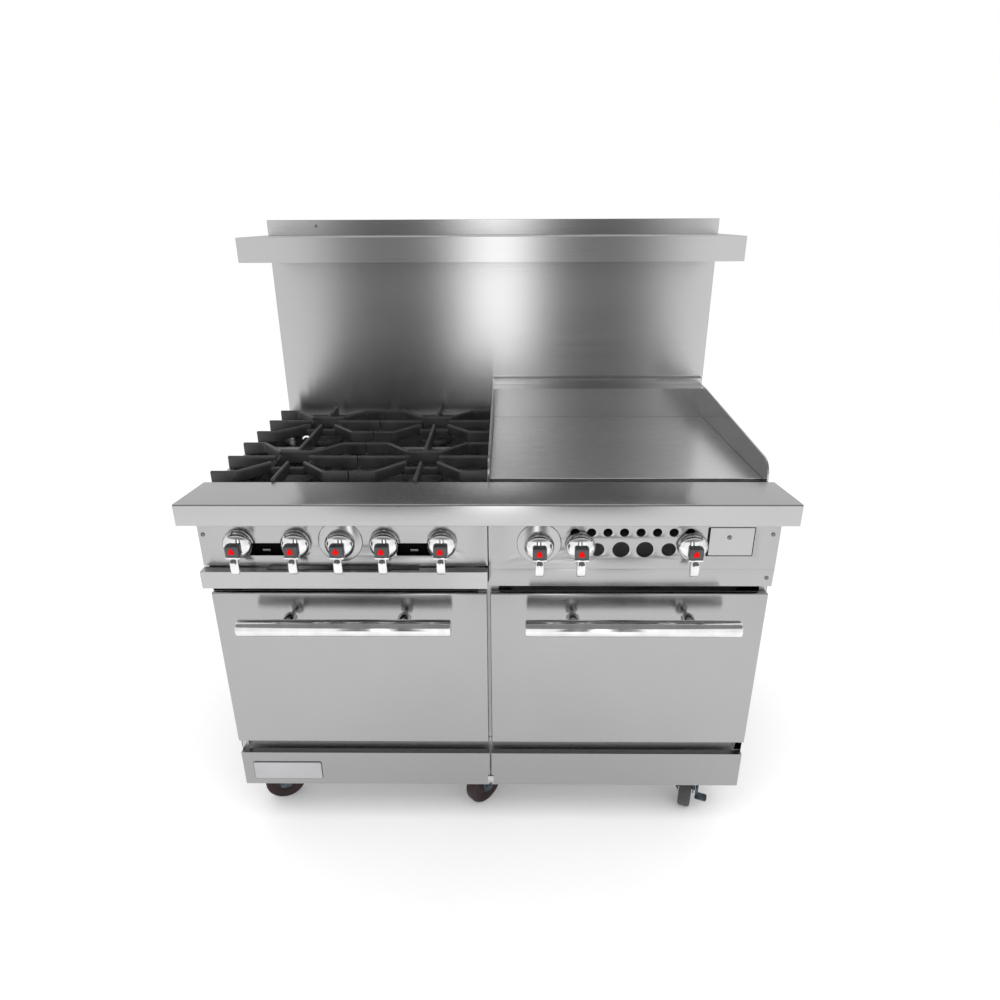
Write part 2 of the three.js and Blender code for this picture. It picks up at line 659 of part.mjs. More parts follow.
function doorLiner(side) {
  const [x0, x1] = doorSpan(side);
  const front = behind(DOOR_SETBACK) + DOOR_RIM + GAP;
  const half = CAVITY_WIDTH / 2 - 8;
  const centre = side * OVEN_CENTRE;
  const plugDepth = 30;
  const plate = box(x0 + 1, x1 - 1, front, front + 2, DOOR_BOTTOM + 1, DOOR_TOP - 1);
  const plug = pan(centre - half, centre + half, front + 0.5, front + plugDepth,
    CAVITY_FLOOR + 7, CAVITY_ROOF - 7, 'front', 2);
  const window = box(centre - half + 2, centre + half - 2, front - 1, front + 3,
    CAVITY_FLOOR + 9, CAVITY_ROOF - 9);
  return plate.add(plug).subtract(window);
}

function handle(side) {
  const centre = side * OVEN_CENTRE;
  const doorFace = behind(DOOR_SETBACK);
  const y = doorFace - HANDLE_STANDOFF;
  const z = HANDLE_HEIGHT;
  const reach = HANDLE_LENGTH / 2;
  const tube = rod([centre - reach, y, z], [centre + reach, y, z], HANDLE_RADIUS, SEGMENTS);
  const posts = [-POST_OFFSET, POST_OFFSET].flatMap((offset) => [
    rod([centre + offset, y, z], [centre + offset, doorFace - GAP, z], 10, 10),
    rod([centre + offset, y, z], [centre + offset, y + 30, z], 15, 12),
  ]);
  return union(tube, posts);
}

// ---------- casters ----------

// The turn is the direction in which the wheel trails its swivel.
function casterPlaces() {
  return [
    { px: -CASTER_X, py: behind(CASTER_FRONT_SETBACK), turn: 200 },
    { px: 0, py: behind(CASTER_FRONT_SETBACK), turn: 225 },
    { px: CASTER_X, py: behind(CASTER_FRONT_SETBACK), turn: 250 },
    { px: -CASTER_X, py: behind(CASTER_BACK_SETBACK), turn: 160 },
    { px: 0, py: behind(CASTER_BACK_SETBACK), turn: 35 },
    { px: CASTER_X, py: behind(CASTER_BACK_SETBACK), turn: 110 },
  ];
}

function casterFork(place) {
  const top = DECK_BOTTOM - 4 - GAP;
  const race = turned([[0, 116], [30, 116], [36, 124], [36, 138], [28, top], [0, top]], 'z', 0, 0, 0, 12);
  const legInner = WHEEL_WIDTH / 2 + 3;
  const legProfile = [
    [-26, 118], [26, 118], [CASTER_TRAIL + 16, WHEEL_RADIUS + 6], [CASTER_TRAIL + 10, WHEEL_RADIUS - 12],
    [CASTER_TRAIL - 10, WHEEL_RADIUS - 12], [CASTER_TRAIL - 18, WHEEL_RADIUS + 4],
  ];
  const shape = new THREE.Shape(legProfile.map(([x, z]) => new THREE.Vector2(x, z)));
  const plate = new THREE.ExtrudeGeometry(shape, { depth: 3, bevelEnabled: false });
  plate.rotateX(Math.PI / 2);
  const leg = solidOf(plate);
  const crown = box(-26, 26, -legInner - 3, legInner + 3, 112, 118);
  const axle = rod([CASTER_TRAIL, -legInner - 6, WHEEL_RADIUS], [CASTER_TRAIL, legInner + 6, WHEEL_RADIUS],
    AXLE_RADIUS, 8);
  const legs = [leg.translate([0, legInner + 3, 0]), leg.translate([0, -legInner, 0])];
  const fork = union(race, crown, axle, legs);
  return moved(fork, place.px, place.py, 0, place.turn);
}

function casterWheel(place) {
  const bore = AXLE_RADIUS + 0.4;
  const half = WHEEL_WIDTH / 2;
  const wheel = turned([
    [bore, -half], [WHEEL_RADIUS - 4, -half], [WHEEL_RADIUS, 4 - half], [WHEEL_RADIUS, half - 4],
    [WHEEL_RADIUS - 4, half], [bore, half], [bore, -half],
  ], 'y', CASTER_TRAIL, 0, WHEEL_RADIUS, 20);
  return moved(wheel, place.px, place.py, 0, place.turn);
}

// A foot lever beside the fork leg, pivoted on the axle's end.
function brakeLever(place) {
  const inner = WHEEL_WIDTH / 2 + 3 + 3 + 4;
  const z = WHEEL_RADIUS;
  const arm = box(CASTER_TRAIL - 8, CASTER_TRAIL + 8, inner, inner + 4, z - 22, z + 12);
  const cam = rod([CASTER_TRAIL, inner, z], [CASTER_TRAIL, inner + 7, z], 13, 10);
  const foot = box(CASTER_TRAIL - 10, CASTER_TRAIL + 12, inner, inner + 30, z - 26, z - 21);
  return moved(union(arm, cam, foot), place.px, place.py, 0, place.turn);
}

// ---------- assembly ----------

addMesh('side_panel_left', sidePanel(-1), STAINLESS);
addMesh('side_panel_right', sidePanel(1), STAINLESS);
addMesh('back_panel', backPanel(), ALUMINISED);
addMesh('base_frame', baseFrame(), ALUMINISED);
addMesh('centre_post', centrePost(), ALUMINISED);
addMesh('front_ledge', frontLedge(), STAINLESS);
addMesh('control_panel_left', controlPanelLeft(), STAINLESS);
addMesh('control_panel_right', controlPanelRight(), STAINLESS);
addMesh('kick_panel_left', kickPanel(-607, -2), STAINLESS);
addMesh('kick_panel_right', kickPanel(2, 607), STAINLESS);
addMesh('backguard', backguard(), STAINLESS);
addMesh('high_shelf', highShelf(), STAINLESS);
addMesh('gas_manifold', gasManifold(), BLACK_PIPE);
addMesh('burner_box', burnerBox(), ALUMINISED);
addMesh('griddle_plate', griddlePlate(), GRIDDLE_STEEL);
addMesh('griddle_splash', griddleSplash(), STAINLESS);
addMesh('griddle_burner', griddleBurner(), ALUMINISED);
addMesh('crumb_tray', crumbTray(), STAINLESS);
addMesh('grease_drawer', greaseDrawer(), STAINLESS);

for (const [side, label] of [[-1, 'left'], [1, 'right']]) {
  addMesh(`oven_liner_${label}`, ovenLiner(side * OVEN_CENTRE), ALUMINISED);
  addMesh(`oven_rack_${label}`, ovenRack(side * OVEN_CENTRE), CHROME);
  addMesh(`oven_burner_${label}`, ovenBurner(side * OVEN_CENTRE), CAST_IRON);
  addMesh(`door_${label}`, door(side), STAINLESS);
  addMesh(`door_liner_${label}`, doorLiner(side), ALUMINISED);
  addMesh(`handle_${label}`, handle(side), CHROME);
}

for (let i = 0; i < 4; i++) {
  const column = i % 2;
  const row = Math.floor(i / 2);
  addMesh(`grate_${i + 1}`, grate(column, row), CAST_IRON);
  addMesh(`burner_${i + 1}`, openBurner(column, row), CAST_IRON);
}

KNOBS.forEach((x, i) => addMesh(`knob_${i + 1}`, knob(x), CHROME));

casterPlaces().forEach((place, i) => {
  addMesh(`caster_fork_${i + 1}`, casterFork(place), ZINC);
  addMesh(`caster_wheel_${i + 1}`, casterWheel(place), i < 2 ? MAROON_WHEEL : GREY_WHEEL);
});
addMesh('brake_lever', brakeLever(casterPlaces()[2]), BLACK_PAINT);

export default range;
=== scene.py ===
import math

import bmesh
import bpy
from mathutils import Matrix, Vector


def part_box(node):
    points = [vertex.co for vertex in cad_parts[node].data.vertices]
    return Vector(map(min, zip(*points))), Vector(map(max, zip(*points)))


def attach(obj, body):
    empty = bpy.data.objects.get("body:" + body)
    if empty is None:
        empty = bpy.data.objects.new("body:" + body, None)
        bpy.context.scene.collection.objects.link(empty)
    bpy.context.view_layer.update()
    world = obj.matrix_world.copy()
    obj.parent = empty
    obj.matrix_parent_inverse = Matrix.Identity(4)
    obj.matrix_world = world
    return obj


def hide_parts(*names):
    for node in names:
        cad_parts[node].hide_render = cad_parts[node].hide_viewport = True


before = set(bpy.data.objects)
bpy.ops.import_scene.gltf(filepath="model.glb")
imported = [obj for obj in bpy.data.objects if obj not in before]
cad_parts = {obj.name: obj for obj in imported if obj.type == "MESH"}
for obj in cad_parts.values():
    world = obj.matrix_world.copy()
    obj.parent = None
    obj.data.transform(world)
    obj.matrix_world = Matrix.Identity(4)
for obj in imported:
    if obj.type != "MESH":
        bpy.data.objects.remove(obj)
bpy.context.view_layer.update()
SCENE = bpy.context.scene

# ---------- sizes, in metres ----------

HALF_WIDTH = 0.6096
DEPTH = 0.8255
WORK_HEIGHT = 0.925
SHEET = 0.0025

LEDGE_DEPTH = 0.126
LEDGE_FACE = 0.046
LEDGE_TAPER = 0.013
LEDGE_LIP = 0.026
LEDGE_HEM = 0.014
LEDGE_END_HEM = 0.020
PANEL_SETBACK = 0.082
PANEL_TOP = WORK_HEIGHT - LEDGE_FACE - 0.002
PANEL_BOTTOM_LEFT = 0.7495
PANEL_BOTTOM_RIGHT = 0.700
PANEL_FOLD = 0.7425
PANEL_FOLD_ANGLE = 2.5
PANEL_RETURN = 0.0216
DOOR_SETBACK = 0.087

WINDOWS = ((-0.512, -0.432), (-0.194, -0.116))
WINDOW_BOTTOM = 0.774
WINDOW_TOP = 0.803
WELL_MARGIN = 0.004
WELL_DEPTH = 0.0165
WELL_WALL = 0.0012
SMALL_VENT_START = 0.182
SMALL_VENT_PITCH = 0.0344
SMALL_VENT_HEIGHT = 0.828
SMALL_VENT_RADII = (0.0095,) * 8
LARGE_VENT_START = 0.230
LARGE_VENT_PITCH = 0.0502
LARGE_VENT_HEIGHT = 0.7885
LARGE_VENT_RADII = (0.015, 0.018, 0.018, 0.015)
DRAWER_HOLE = (0.459, 0.5575, 0.7735, 0.8405)
STEM_HOLE_RADIUS = 0.008
HAND_SLOT = (-0.471, -0.146)
TRAY_TOP = 0.747

KNOB_PLACES = [-0.526, -0.405, -0.311, -0.218, -0.097, 0.1075, 0.194, 0.428]
KNOB_HEIGHT_LEFT = 0.804
KNOB_HEIGHT_RIGHT = 0.799
THERMOSTATS = (3, 6)
WIDE_BEZEL = 0.047
NARROW_BEZEL = 0.027
WIDE_BEZEL_LIFT = 0.004

HANDLE_LENGTH = 0.456
HANDLE_RADIUS = 0.018
HANDLE_STANDOFF = 0.064
HANDLE_HEIGHT = 0.632
HANDLE_CENTRE = 0.306
POST_OFFSET = 0.124

GRATE_SIZE = 0.2995
GRATE_TOP = 0.931
GRATE_BOTTOM = 0.901
GRATE_PITCH = 0.3005
GRATE_LEFT = -0.604
GRATE_FRONT_SETBACK = 0.129
BAR_PITCH = 0.1016
RIM_DROP = 0.013
RIM_HALF = 0.0405
FINGER_TIP = 0.0375
FINGER_BEND = 0.095

BURNER_RADIUS = 0.0455
BURNER_TUBE_HEIGHT = 0.838
BURNER_TUBE_OFFSET = 0.058
BURNER_TUBE_MOUTH = 0.158
PORT_HEIGHT = 0.8775
PORT_COUNT = 20

WHEEL_RADIUS = 0.0508
WHEEL_WIDTH = 0.030
CASTER_TRAIL = 0.032
DECK_BOTTOM = 0.150
CASTER_TURNS = [200, 225, 250, 160, 35, 110]
CASTER_X = 0.522
CASTER_SETBACKS = (0.205, 0.740)
BRAKED_CASTER = 3
FORK_WALL = 0.003

BADGE = (-0.582, -0.414, 0.155, 0.207)
BADGE_BORDER = 0.0015

FLOOR_RADIUS = 3.2
FAR_FLOOR_RADIUS = 60.0

LENS = 24.8
CAMERA_PLACE = (0.0407, -1.6367, 1.4376)
CAMERA_DOWN = 22.31
CAMERA_HEADING = 0.66
CAMERA_ROLL = -0.24


def behind(setback):
    """Y of a plane that lies this far behind the ledge's front face."""
    return setback - DEPTH / 2


# ---------- materials ----------

def bare_material(name):
    material = bpy.data.materials.new(name)
    material.use_nodes = True
    nodes = material.node_tree.nodes
    shader = nodes["Principled BSDF"]
    return material, nodes, material.node_tree.links, shader


def object_place(nodes, links, scale=(1, 1, 1)):
    """Coordinates fixed to the piece, in metres times scale."""
    coordinates = nodes.new("ShaderNodeTexCoord")
    mapping = nodes.new("ShaderNodeMapping")
    mapping.inputs["Scale"].default_value = scale
    links.new(coordinates.outputs["Object"], mapping.inputs["Vector"])
    return mapping.outputs["Vector"]


def noise(nodes, links, place, scale=1.0, detail=3.0, roughness=0.5):
    texture = nodes.new("ShaderNodeTexNoise")
    texture.inputs["Scale"].default_value = scale
    texture.inputs["Detail"].default_value = detail
    texture.inputs["Roughness"].default_value = roughness
    links.new(place, texture.inputs["Vector"])
    return texture.outputs["Fac"]


def spread(nodes, links, value, low, high, from_low=0.3, from_high=0.7):
    """The value, taken from one range to another."""
    node = nodes.new("ShaderNodeMapRange")
    node.inputs["From Min"].default_value = from_low
    node.inputs["From Max"].default_value = from_high
    node.inputs["To Min"].default_value = low
    node.inputs["To Max"].default_value = high
    links.new(value, node.inputs["Value"])
    return node.outputs["Result"]


def two_tones(nodes, links, value, dark, light, from_low=0.3, from_high=0.7):
    """A colour between dark and light that follows the value."""
    ramp = nodes.new("ShaderNodeValToRGB")
    ramp.color_ramp.elements[0].position = from_low
    ramp.color_ramp.elements[0].color = (*dark, 1)
    ramp.color_ramp.elements[1].position = from_high
    ramp.color_ramp.elements[1].color = (*light, 1)
    links.new(value, ramp.inputs["Fac"])
    return ramp.outputs["Color"]


def add_bump(nodes, links, shader, height, depth):
    """Gives the shader a relief as deep as this many metres."""
    bump = nodes.new("ShaderNodeBump")
    bump.inputs["Strength"].default_value = 1.0
    bump.inputs["Distance"].default_value = depth
    links.new(height, bump.inputs["Height"])
    links.new(bump.outputs["Normal"], shader.inputs["Normal"])


def across_brushing(nodes, links, axis):
    """The direction on the surface that lies square to brush lines running along the axis."""
    geometry = nodes.new("ShaderNodeNewGeometry")
    cross = nodes.new("ShaderNodeVectorMath")
    cross.operation = "CROSS_PRODUCT"
    cross.inputs[1].default_value = axis
    links.new(geometry.outputs["Normal"], cross.inputs[0])
    return cross.outputs["Vector"]


def brushed_steel(name, axis, tone, roughness, anisotropy=0.85):
    """Stainless sheet with fine brush lines along the axis."""
    material, nodes, links, shader = bare_material(name)
    along, across = 2.5, 900
    cloud_share, streak_share = 0.45, 0.55
    relief = 0.000004
    scale = tuple(along if part else across for part in axis)
    streaks = noise(nodes, links, object_place(nodes, links, scale), detail=4, roughness=0.7)
    clouds = noise(nodes, links, object_place(nodes, links), scale=5, detail=2)
    mixed = nodes.new("ShaderNodeMath")
    mixed.operation = "MULTIPLY_ADD"
    mixed.inputs[1].default_value = cloud_share
    links.new(clouds, mixed.inputs[0])
    weight = nodes.new("ShaderNodeMath")
    weight.operation = "MULTIPLY"
    weight.inputs[1].default_value = streak_share
    links.new(streaks, weight.inputs[0])
    links.new(weight.outputs[0], mixed.inputs[2])
    dark = (tone * 0.97, tone * 0.97, tone * 0.97)
    light = (tone * 1.03, tone * 1.03, tone * 1.035)
    links.new(two_tones(nodes, links, mixed.outputs[0], dark, light), shader.inputs["Base Color"])
    links.new(spread(nodes, links, streaks, roughness * 0.85, roughness * 1.15), shader.inputs["Roughness"])
    shader.inputs["Metallic"].default_value = 1.0
    shader.inputs["Anisotropic"].default_value = anisotropy
    links.new(across_brushing(nodes, links, axis), shader.inputs["Tangent"])
    add_bump(nodes, links, shader, streaks, relief)
    return material


def chrome(name):
    """Polished plating with faint smudges."""
    material, nodes, links, shader = bare_material(name)
    smudges = noise(nodes, links, object_place(nodes, links), scale=30, detail=4)
    links.new(two_tones(nodes, links, smudges, (0.72, 0.72, 0.73), (0.86, 0.86, 0.87)),
              shader.inputs["Base Color"])
    links.new(spread(nodes, links, smudges, 0.06, 0.16), shader.inputs["Roughness"])
    shader.inputs["Metallic"].default_value = 1.0
    return material


def cast_iron(name):
    """Dark seasoned iron with a coarse skin."""
    material, nodes, links, shader = bare_material(name)
    place = object_place(nodes, links)
    grain = noise(nodes, links, place, scale=900, detail=3, roughness=0.6)
    patches = noise(nodes, links, place, scale=22, detail=4)
    links.new(two_tones(nodes, links, patches, (0.010, 0.010, 0.0105), (0.028, 0.028, 0.029)),
              shader.inputs["Base Color"])
    links.new(spread(nodes, links, patches, 0.28, 0.44), shader.inputs["Roughness"])
    shader.inputs["Metallic"].default_value = 0.0
    shader.inputs["Specular IOR Level"].default_value = 0.9
    add_bump(nodes, links, shader, grain, 0.0004)
    return material


def plain_metal(name, dark, light, rough_low, rough_high, scale, bump_depth, metallic=1.0, bump_scale=400):
    """Cast, plated or painted metal: two tones in soft patches, with a fine grain."""
    material, nodes, links, shader = bare_material(name)
    place = object_place(nodes, links)
    patches = noise(nodes, links, place, scale=scale, detail=4)
    grain = noise(nodes, links, place, scale=bump_scale, detail=2)
    links.new(two_tones(nodes, links, patches, dark, light), shader.inputs["Base Color"])
    links.new(spread(nodes, links, patches, rough_low, rough_high), shader.inputs["Roughness"])
    shader.inputs["Metallic"].default_value = metallic
    add_bump(nodes, links, shader, grain, bump_depth)
    return material


def dull(material):
    """Takes most of the shine off a paint."""
    material.node_tree.nodes["Principled BSDF"].inputs["Specular IOR Level"].default_value = 0.1
    return material


STAINLESS = brushed_steel("stainless_along_x", (1, 0, 0), 0.49, 0.22, 0.9)
LEDGE_STEEL = brushed_steel("ledge_stainless", (1, 0, 0), 0.50, 0.20, 0.85)
SPLASH_STEEL = brushed_steel("splash_stainless", (1, 0, 0), 0.50, 0.18, 0.8)
# Control panels, doors and kick panels are the same stainless given darker tones (0.44, 0.405, 0.36) as
# painted shade; the kick, darkest, stands for the shadowed floor it mirrors.
PANEL_STEEL_SHADED = brushed_steel("panel_stainless_painted_shade", (1, 0, 0), 0.44, 0.20, 0.85)
STAINLESS_SIDE = brushed_steel("stainless_along_y", (0, 1, 0), 0.50, 0.26)
DOOR_STEEL_SHADED = brushed_steel("door_stainless_painted_shade", (1, 0, 0), 0.405, 0.18, 0.75)
KICK_STEEL_SHADED = brushed_steel("kick_stainless_painted_shade", (1, 0, 0), 0.36, 0.20, 0.85)
GRIDDLE_STEEL = brushed_steel("ground_griddle_steel", (1, 0, 0), 0.80, 0.30, 0.4)
CHROME = chrome("polished_chrome")
CAST_IRON = cast_iron("cast_iron")
ALUMINISED = plain_metal("aluminised_steel", (0.46, 0.46, 0.47), (0.54, 0.54, 0.55), 0.38, 0.46, 180, 0.00003)
BLACK_PIPE = plain_metal("black_pipe", (0.02, 0.02, 0.022), (0.05, 0.05, 0.052), 0.45, 0.6, 30, 0.0002, 0.5)
ZINC = plain_metal("zinc_plate", (0.06, 0.075, 0.09), (0.14, 0.17, 0.20), 0.26, 0.40, 80, 0.00005)
MAROON_WHEEL = plain_metal("maroon_wheel", (0.012, 0.0008, 0.0025), (0.024, 0.002, 0.005), 0.45, 0.6, 40,
                           0.0001, 0.0)
GREY_WHEEL = plain_metal("grey_wheel", (0.035, 0.036, 0.038), (0.06, 0.061, 0.064), 0.5, 0.65, 40,
                         0.0001, 0.0)
BLACK_PAINT = plain_metal("black_paint", (0.016, 0.016, 0.017), (0.03, 0.03, 0.032), 0.4, 0.55, 60,
                          0.0001, 0.0)
KNOB_GREY = plain_metal("knob_grey", (0.055, 0.055, 0.058), (0.09, 0.09, 0.093), 0.3, 0.42, 80, 0.00005, 0.2)
RED_MARK = dull(plain_metal("red_mark", (0.72, 0.0, 0.0), (0.86, 0.002, 0.002), 0.55, 0.65, 200,
                            0.00003, 0.0))
BURNER_IRON = plain_metal("burner_iron", (0.03, 0.03, 0.031), (0.08, 0.08, 0.082), 0.45, 0.6, 60, 0.0003, 0.5)
# Near-black, dull paint that stands in for the shade inside the window wells and the tray's hand slot:
# painted shade.
PAINTED_SHADE_BLACK = dull(plain_metal("painted_shade_black", (0.002, 0.002, 0.002), (0.004, 0.004, 0.004), 0.8, 0.9, 60,
                               0.00005, 0.0))
BRIGHT_ZINC = plain_metal("bright_zinc", (0.45, 0.46, 0.48), (0.65, 0.66, 0.68), 0.22, 0.35, 120, 0.00003)
SCREW_STEEL = plain_metal("screw_steel", (0.20, 0.20, 0.205), (0.34, 0.34, 0.345), 0.25, 0.38, 300, 0.00003)
BADGE_FACE = plain_metal("badge_face", (0.44, 0.44, 0.45), (0.50, 0.50, 0.51), 0.34, 0.38, 12, 0.000005, 0.6)
BADGE_EDGE = plain_metal("badge_edge", (0.10, 0.10, 0.105), (0.14, 0.14, 0.145), 0.4, 0.5, 60, 0.00003, 0.3)
# Dark grey for the flat piece under each lever's top bar: painted shade under the lever's arch.
LEVER_PAINTED_SHADE = plain_metal("lever_painted_shade", (0.05, 0.05, 0.052), (0.09, 0.09, 0.092), 0.35, 0.5, 200,
                          0.00003, 0.2)


# ---------- meshes ----------

def finished(builder, sharp_degrees=40):
    """A mesh from the builder, smooth apart from its sharp edges."""
    bmesh.ops.recalc_face_normals(builder, faces=builder.faces)
    mesh = bpy.data.meshes.new("shape")
    builder.to_mesh(mesh)
    builder.free()
    mesh.shade_smooth()
    mesh.set_sharp_from_angle(angle=math.radians(sharp_degrees))
    return mesh


def ring_loft(builder, rings):
    """A closed skin over rings of points. A ring of one point closes that end in a tip; others are capped."""
    made = [[builder.verts.new(point) for point in ring] for ring in rings]
    for first, second in zip(made, made[1:]):
        count = max(len(first), len(second))
        for i in range(count):
            j = (i + 1) % count
            if len(first) == 1:
                builder.faces.new((first[0], second[i], second[j]))
            elif len(second) == 1:
                builder.faces.new((first[i], second[0], first[j]))
            else:
                builder.faces.new((first[i], second[i], second[j], first[j]))
    for end in (made[0], made[-1]):
        if len(end) > 2:
            builder.faces.new(end)


def lathe(builder, profile, place=Matrix.Identity(4), sides=48):
    """Turns a profile of (radius, distance along Z) about Z, then puts it in place."""
    rings = []
    for radius, along in profile:
        if radius < 1e-6:
            rings.append([place @ Vector((0, 0, along))])
            continue
        turns = [2 * math.pi * i / sides for i in range(sides)]
        rings.append([place @ Vector((radius * math.cos(t), radius * math.sin(t), along)) for t in turns])
    ring_loft(builder, rings)


def washer(builder, profile, place=Matrix.Identity(4), sides=48):
    """Turns a closed profile that stays clear of the axis, as for a ring or a tyre."""
    count = len(profile)
    rings = []
    for i in range(sides):
        turn = 2 * math.pi * i / sides
        rings.append([
            builder.verts.new(place @ Vector((radius * math.cos(turn), radius * math.sin(turn), along)))
            for radius, along in profile
        ])
    for i in range(sides):
        first, second = rings[i], rings[(i + 1) % sides]
        for k in range(count):
            m = (k + 1) % count
            builder.faces.new((first[k], first[m], second[m], second[k]))


def rounded_block(builder, low, high, radius, segments=3):
    """A block from its low corner to its high corner, with every edge rounded."""
    size = Vector(high) - Vector(low)
    middle = (Vector(high) + Vector(low)) / 2
    place = Matrix.Translation(middle) @ Matrix.Diagonal((*size, 1))
    made = bmesh.ops.create_cube(builder, size=1, matrix=place)
    edges = {edge for vert in made["verts"] for edge in vert.link_edges}
    bmesh.ops.bevel(builder, geom=list(edges), offset=radius, segments=segments, profile=0.5, affect="EDGES")


def filleted(corners, radii, steps=5):
    """A closed outline's corners, each rounded by its radius; a radius of nought leaves the corner sharp."""
    points = []
    count = len(corners)
    for i in range(count):
        here = Vector(corners[i])
        radius = radii[i]
        if radius <= 0:
            points.append(here)
            continue
        before = (Vector(corners[i - 1]) - here).normalized()
        after = (Vector(corners[(i + 1) % count]) - here).normalized()
        half_angle = before.angle(after) / 2
        start = here + before * (radius / math.tan(half_angle))
        middle = here + (before + after).normalized() * (radius / math.sin(half_angle))
        sweep = math.pi - 2 * half_angle
        turn_sign = 1 if before.x * after.y - before.y * after.x < 0 else -1
        arm = start - middle
        for k in range(steps + 1):
            turn = turn_sign * sweep * k / steps
            points.append(middle + Vector((
                arm.x * math.cos(turn) - arm.y * math.sin(turn),
                arm.x * math.sin(turn) + arm.y * math.cos(turn),
            )))
    return points


def prism(builder, outline, at, low, high):
    """A filled outline of 2-D points, drawn out from low to high. at(u, v, w) gives a point's place."""
    bottom = [builder.verts.new(at(u, v, low)) for u, v in outline]
    top = [builder.verts.new(at(u, v, high)) for u, v in outline]
    builder.faces.new(bottom)
    builder.faces.new(top)
    for i in range(len(outline)):
        j = (i + 1) % len(outline)
        builder.faces.new((bottom[i], bottom[j], top[j], top[i]))


def along_x(y, z, x):
    """Lays a prism's outline in Y and Z, so that it is drawn out along X."""
    return (x, y, z)


def curve_plate(loops, thickness, edge):
    """A flat plate with its holes: loops of 2-D points, thickness along the third axis, edges eased."""
    curve = bpy.data.curves.new("outline", "CURVE")
    curve.dimensions = "2D"
    curve.fill_mode = "BOTH"
    curve.extrude = thickness / 2 - edge
    curve.bevel_depth = edge
    curve.bevel_resolution = 2
    curve.offset = -edge
    for loop in loops:
        spline = curve.splines.new("POLY")
        spline.points.add(len(loop) - 1)
        for point, (u, v) in zip(spline.points, loop):
            point.co = (u, v, 0, 1)
        spline.use_cyclic_u = True
    holder = bpy.data.objects.new("outline", curve)
    SCENE.collection.objects.link(holder)
    bpy.context.view_layer.update()
    mesh = bpy.data.meshes.new_from_object(holder.evaluated_get(bpy.context.evaluated_depsgraph_get()))
    bpy.data.objects.remove(holder)
    bpy.data.curves.remove(curve)
    builder = bmesh.new()
    builder.from_mesh(mesh)
    bpy.data.meshes.remove(mesh)
    bmesh.ops.remove_doubles(builder, verts=builder.verts, dist=1e-6)
    return builder


def circle(u, v, radius, sides=48):
    """A round loop of 2-D points."""
    turns = [2 * math.pi * i / sides for i in range(sides)]
    return [(u + radius * math.cos(t), v + radius * math.sin(t)) for t in turns]


def rounded_rectangle(u0, u1, v0, v1, radius, steps=4):
    """A loop of 2-D points round a rectangle with rounded corners."""
    corners = [(u0, v0), (u1, v0), (u1, v1), (u0, v1)]
    return [tuple(point) for point in filleted(corners, [radius] * 4, steps)]


def facing_front(x, y, z):
    """Puts a shape made about Z so that its +Z looks out of the range's front (-Y) at this place."""
    return Matrix.Translation((x, y, z)) @ Matrix.Rotation(math.radians(90), 4, "X")


def standing_plate(builder, y):
    """Turns a plate drawn in X and Z, made flat, to stand with its middle at this Y."""
    builder.transform(Matrix.Translation((0, y, 0)) @ Matrix.Rotation(math.radians(90), 4, "X"))


def place_piece(name, mesh, material, body, stands_for=()):
    """Adds the mesh as a piece that rides on a body, and that may stand for CAD nodes."""
    mesh.name = name
    if not mesh.materials:
        mesh.materials.append(material)
    piece = bpy.data.objects.new(name, mesh)
    SCENE.collection.objects.link(piece)
    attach(piece, body)
    if stands_for:
        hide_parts(*stands_for)
    return piece


def dress(node, material, edge=0.0008):
    """Gives a carried CAD node its material and eased edges."""
    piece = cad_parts[node]
    piece.data.materials.clear()
    piece.data.materials.append(material)
    weld = piece.modifiers.new("weld", "WELD")
    weld.merge_threshold = 0.00001
    if edge:
        bevel = piece.modifiers.new("eased_edges", "BEVEL")
        bevel.width = edge
        bevel.segments = 2
        bevel.limit_method = "ANGLE"
        bevel.angle_limit = math.radians(40)
        bevel.harden_normals = False
        bevel.use_clamp_overlap = True
    smooth = piece.modifiers.new("weighted_normals", "WEIGHTED_NORMAL")
    smooth.keep_sharp = True
    return piece


# ---------- body sheets ----------

def front_ledge():
    """A folded sheet with a rolled front corner and closed ends, which slant in towards the back."""
    top = WORK_HEIGHT
    low = top - LEDGE_FACE
    front = behind(0)
    back = behind(LEDGE_DEPTH)
    lip = behind(LEDGE_LIP)
    outline = filleted([
        (front, low), (front, top), (back, top), (back, top - LEDGE_HEM),
        (back - SHEET, top - LEDGE_HEM), (back - SHEET, top - SHEET),
        (behind(SHEET), top - SHEET), (behind(SHEET), low + SHEET), (lip, low + SHEET), (lip, low),
    ], [0.003, 0.0045, 0.003, 0, 0, 0, 0.002, 0.0015, 0, 0], 6)
    builder = bmesh.new()
    prism(builder, outline, along_x, -HALF_WIDTH + SHEET, HALF_WIDTH - SHEET)
    cap = filleted([
        (front, low), (front, top), (back, top), (back, top - LEDGE_HEM),
        (behind(PANEL_SETBACK), top - LEDGE_END_HEM), (lip, low),
    ], [0.003, 0.0045, 0.003, 0.002, 0.01, 0.004], 6)
    for low_x, high_x in ((-HALF_WIDTH, -HALF_WIDTH + SHEET), (HALF_WIDTH - SHEET, HALF_WIDTH)):
        prism(builder, cap, along_x, low_x, high_x)
    for vert in builder.verts:
        share = (vert.co.y - front) / LEDGE_DEPTH
        vert.co.x -= math.copysign(LEDGE_TAPER * share, vert.co.x)
    place_piece("front_ledge_shell", finished(builder, 25), LEDGE_STEEL, "range_body",
                ["front_ledge"])


def panel_height(x):
    """Height of the knob at this X; the two control panels differ a little."""
    return KNOB_HEIGHT_LEFT if x < 0 else KNOB_HEIGHT_RIGHT


def stem_holes(side):
    """Holes for the stems of the knobs to the left (-1) or right (1) of the middle."""
    return [circle(x, panel_height(x), STEM_HOLE_RADIUS, 24) for x in KNOB_PLACES if x * side > 0]


def vent_row(start, pitch, height, radii):
    """Round vents in a row across the panel."""
    return [circle(start + i * pitch, height, radius) for i, radius in enumerate(radii)]


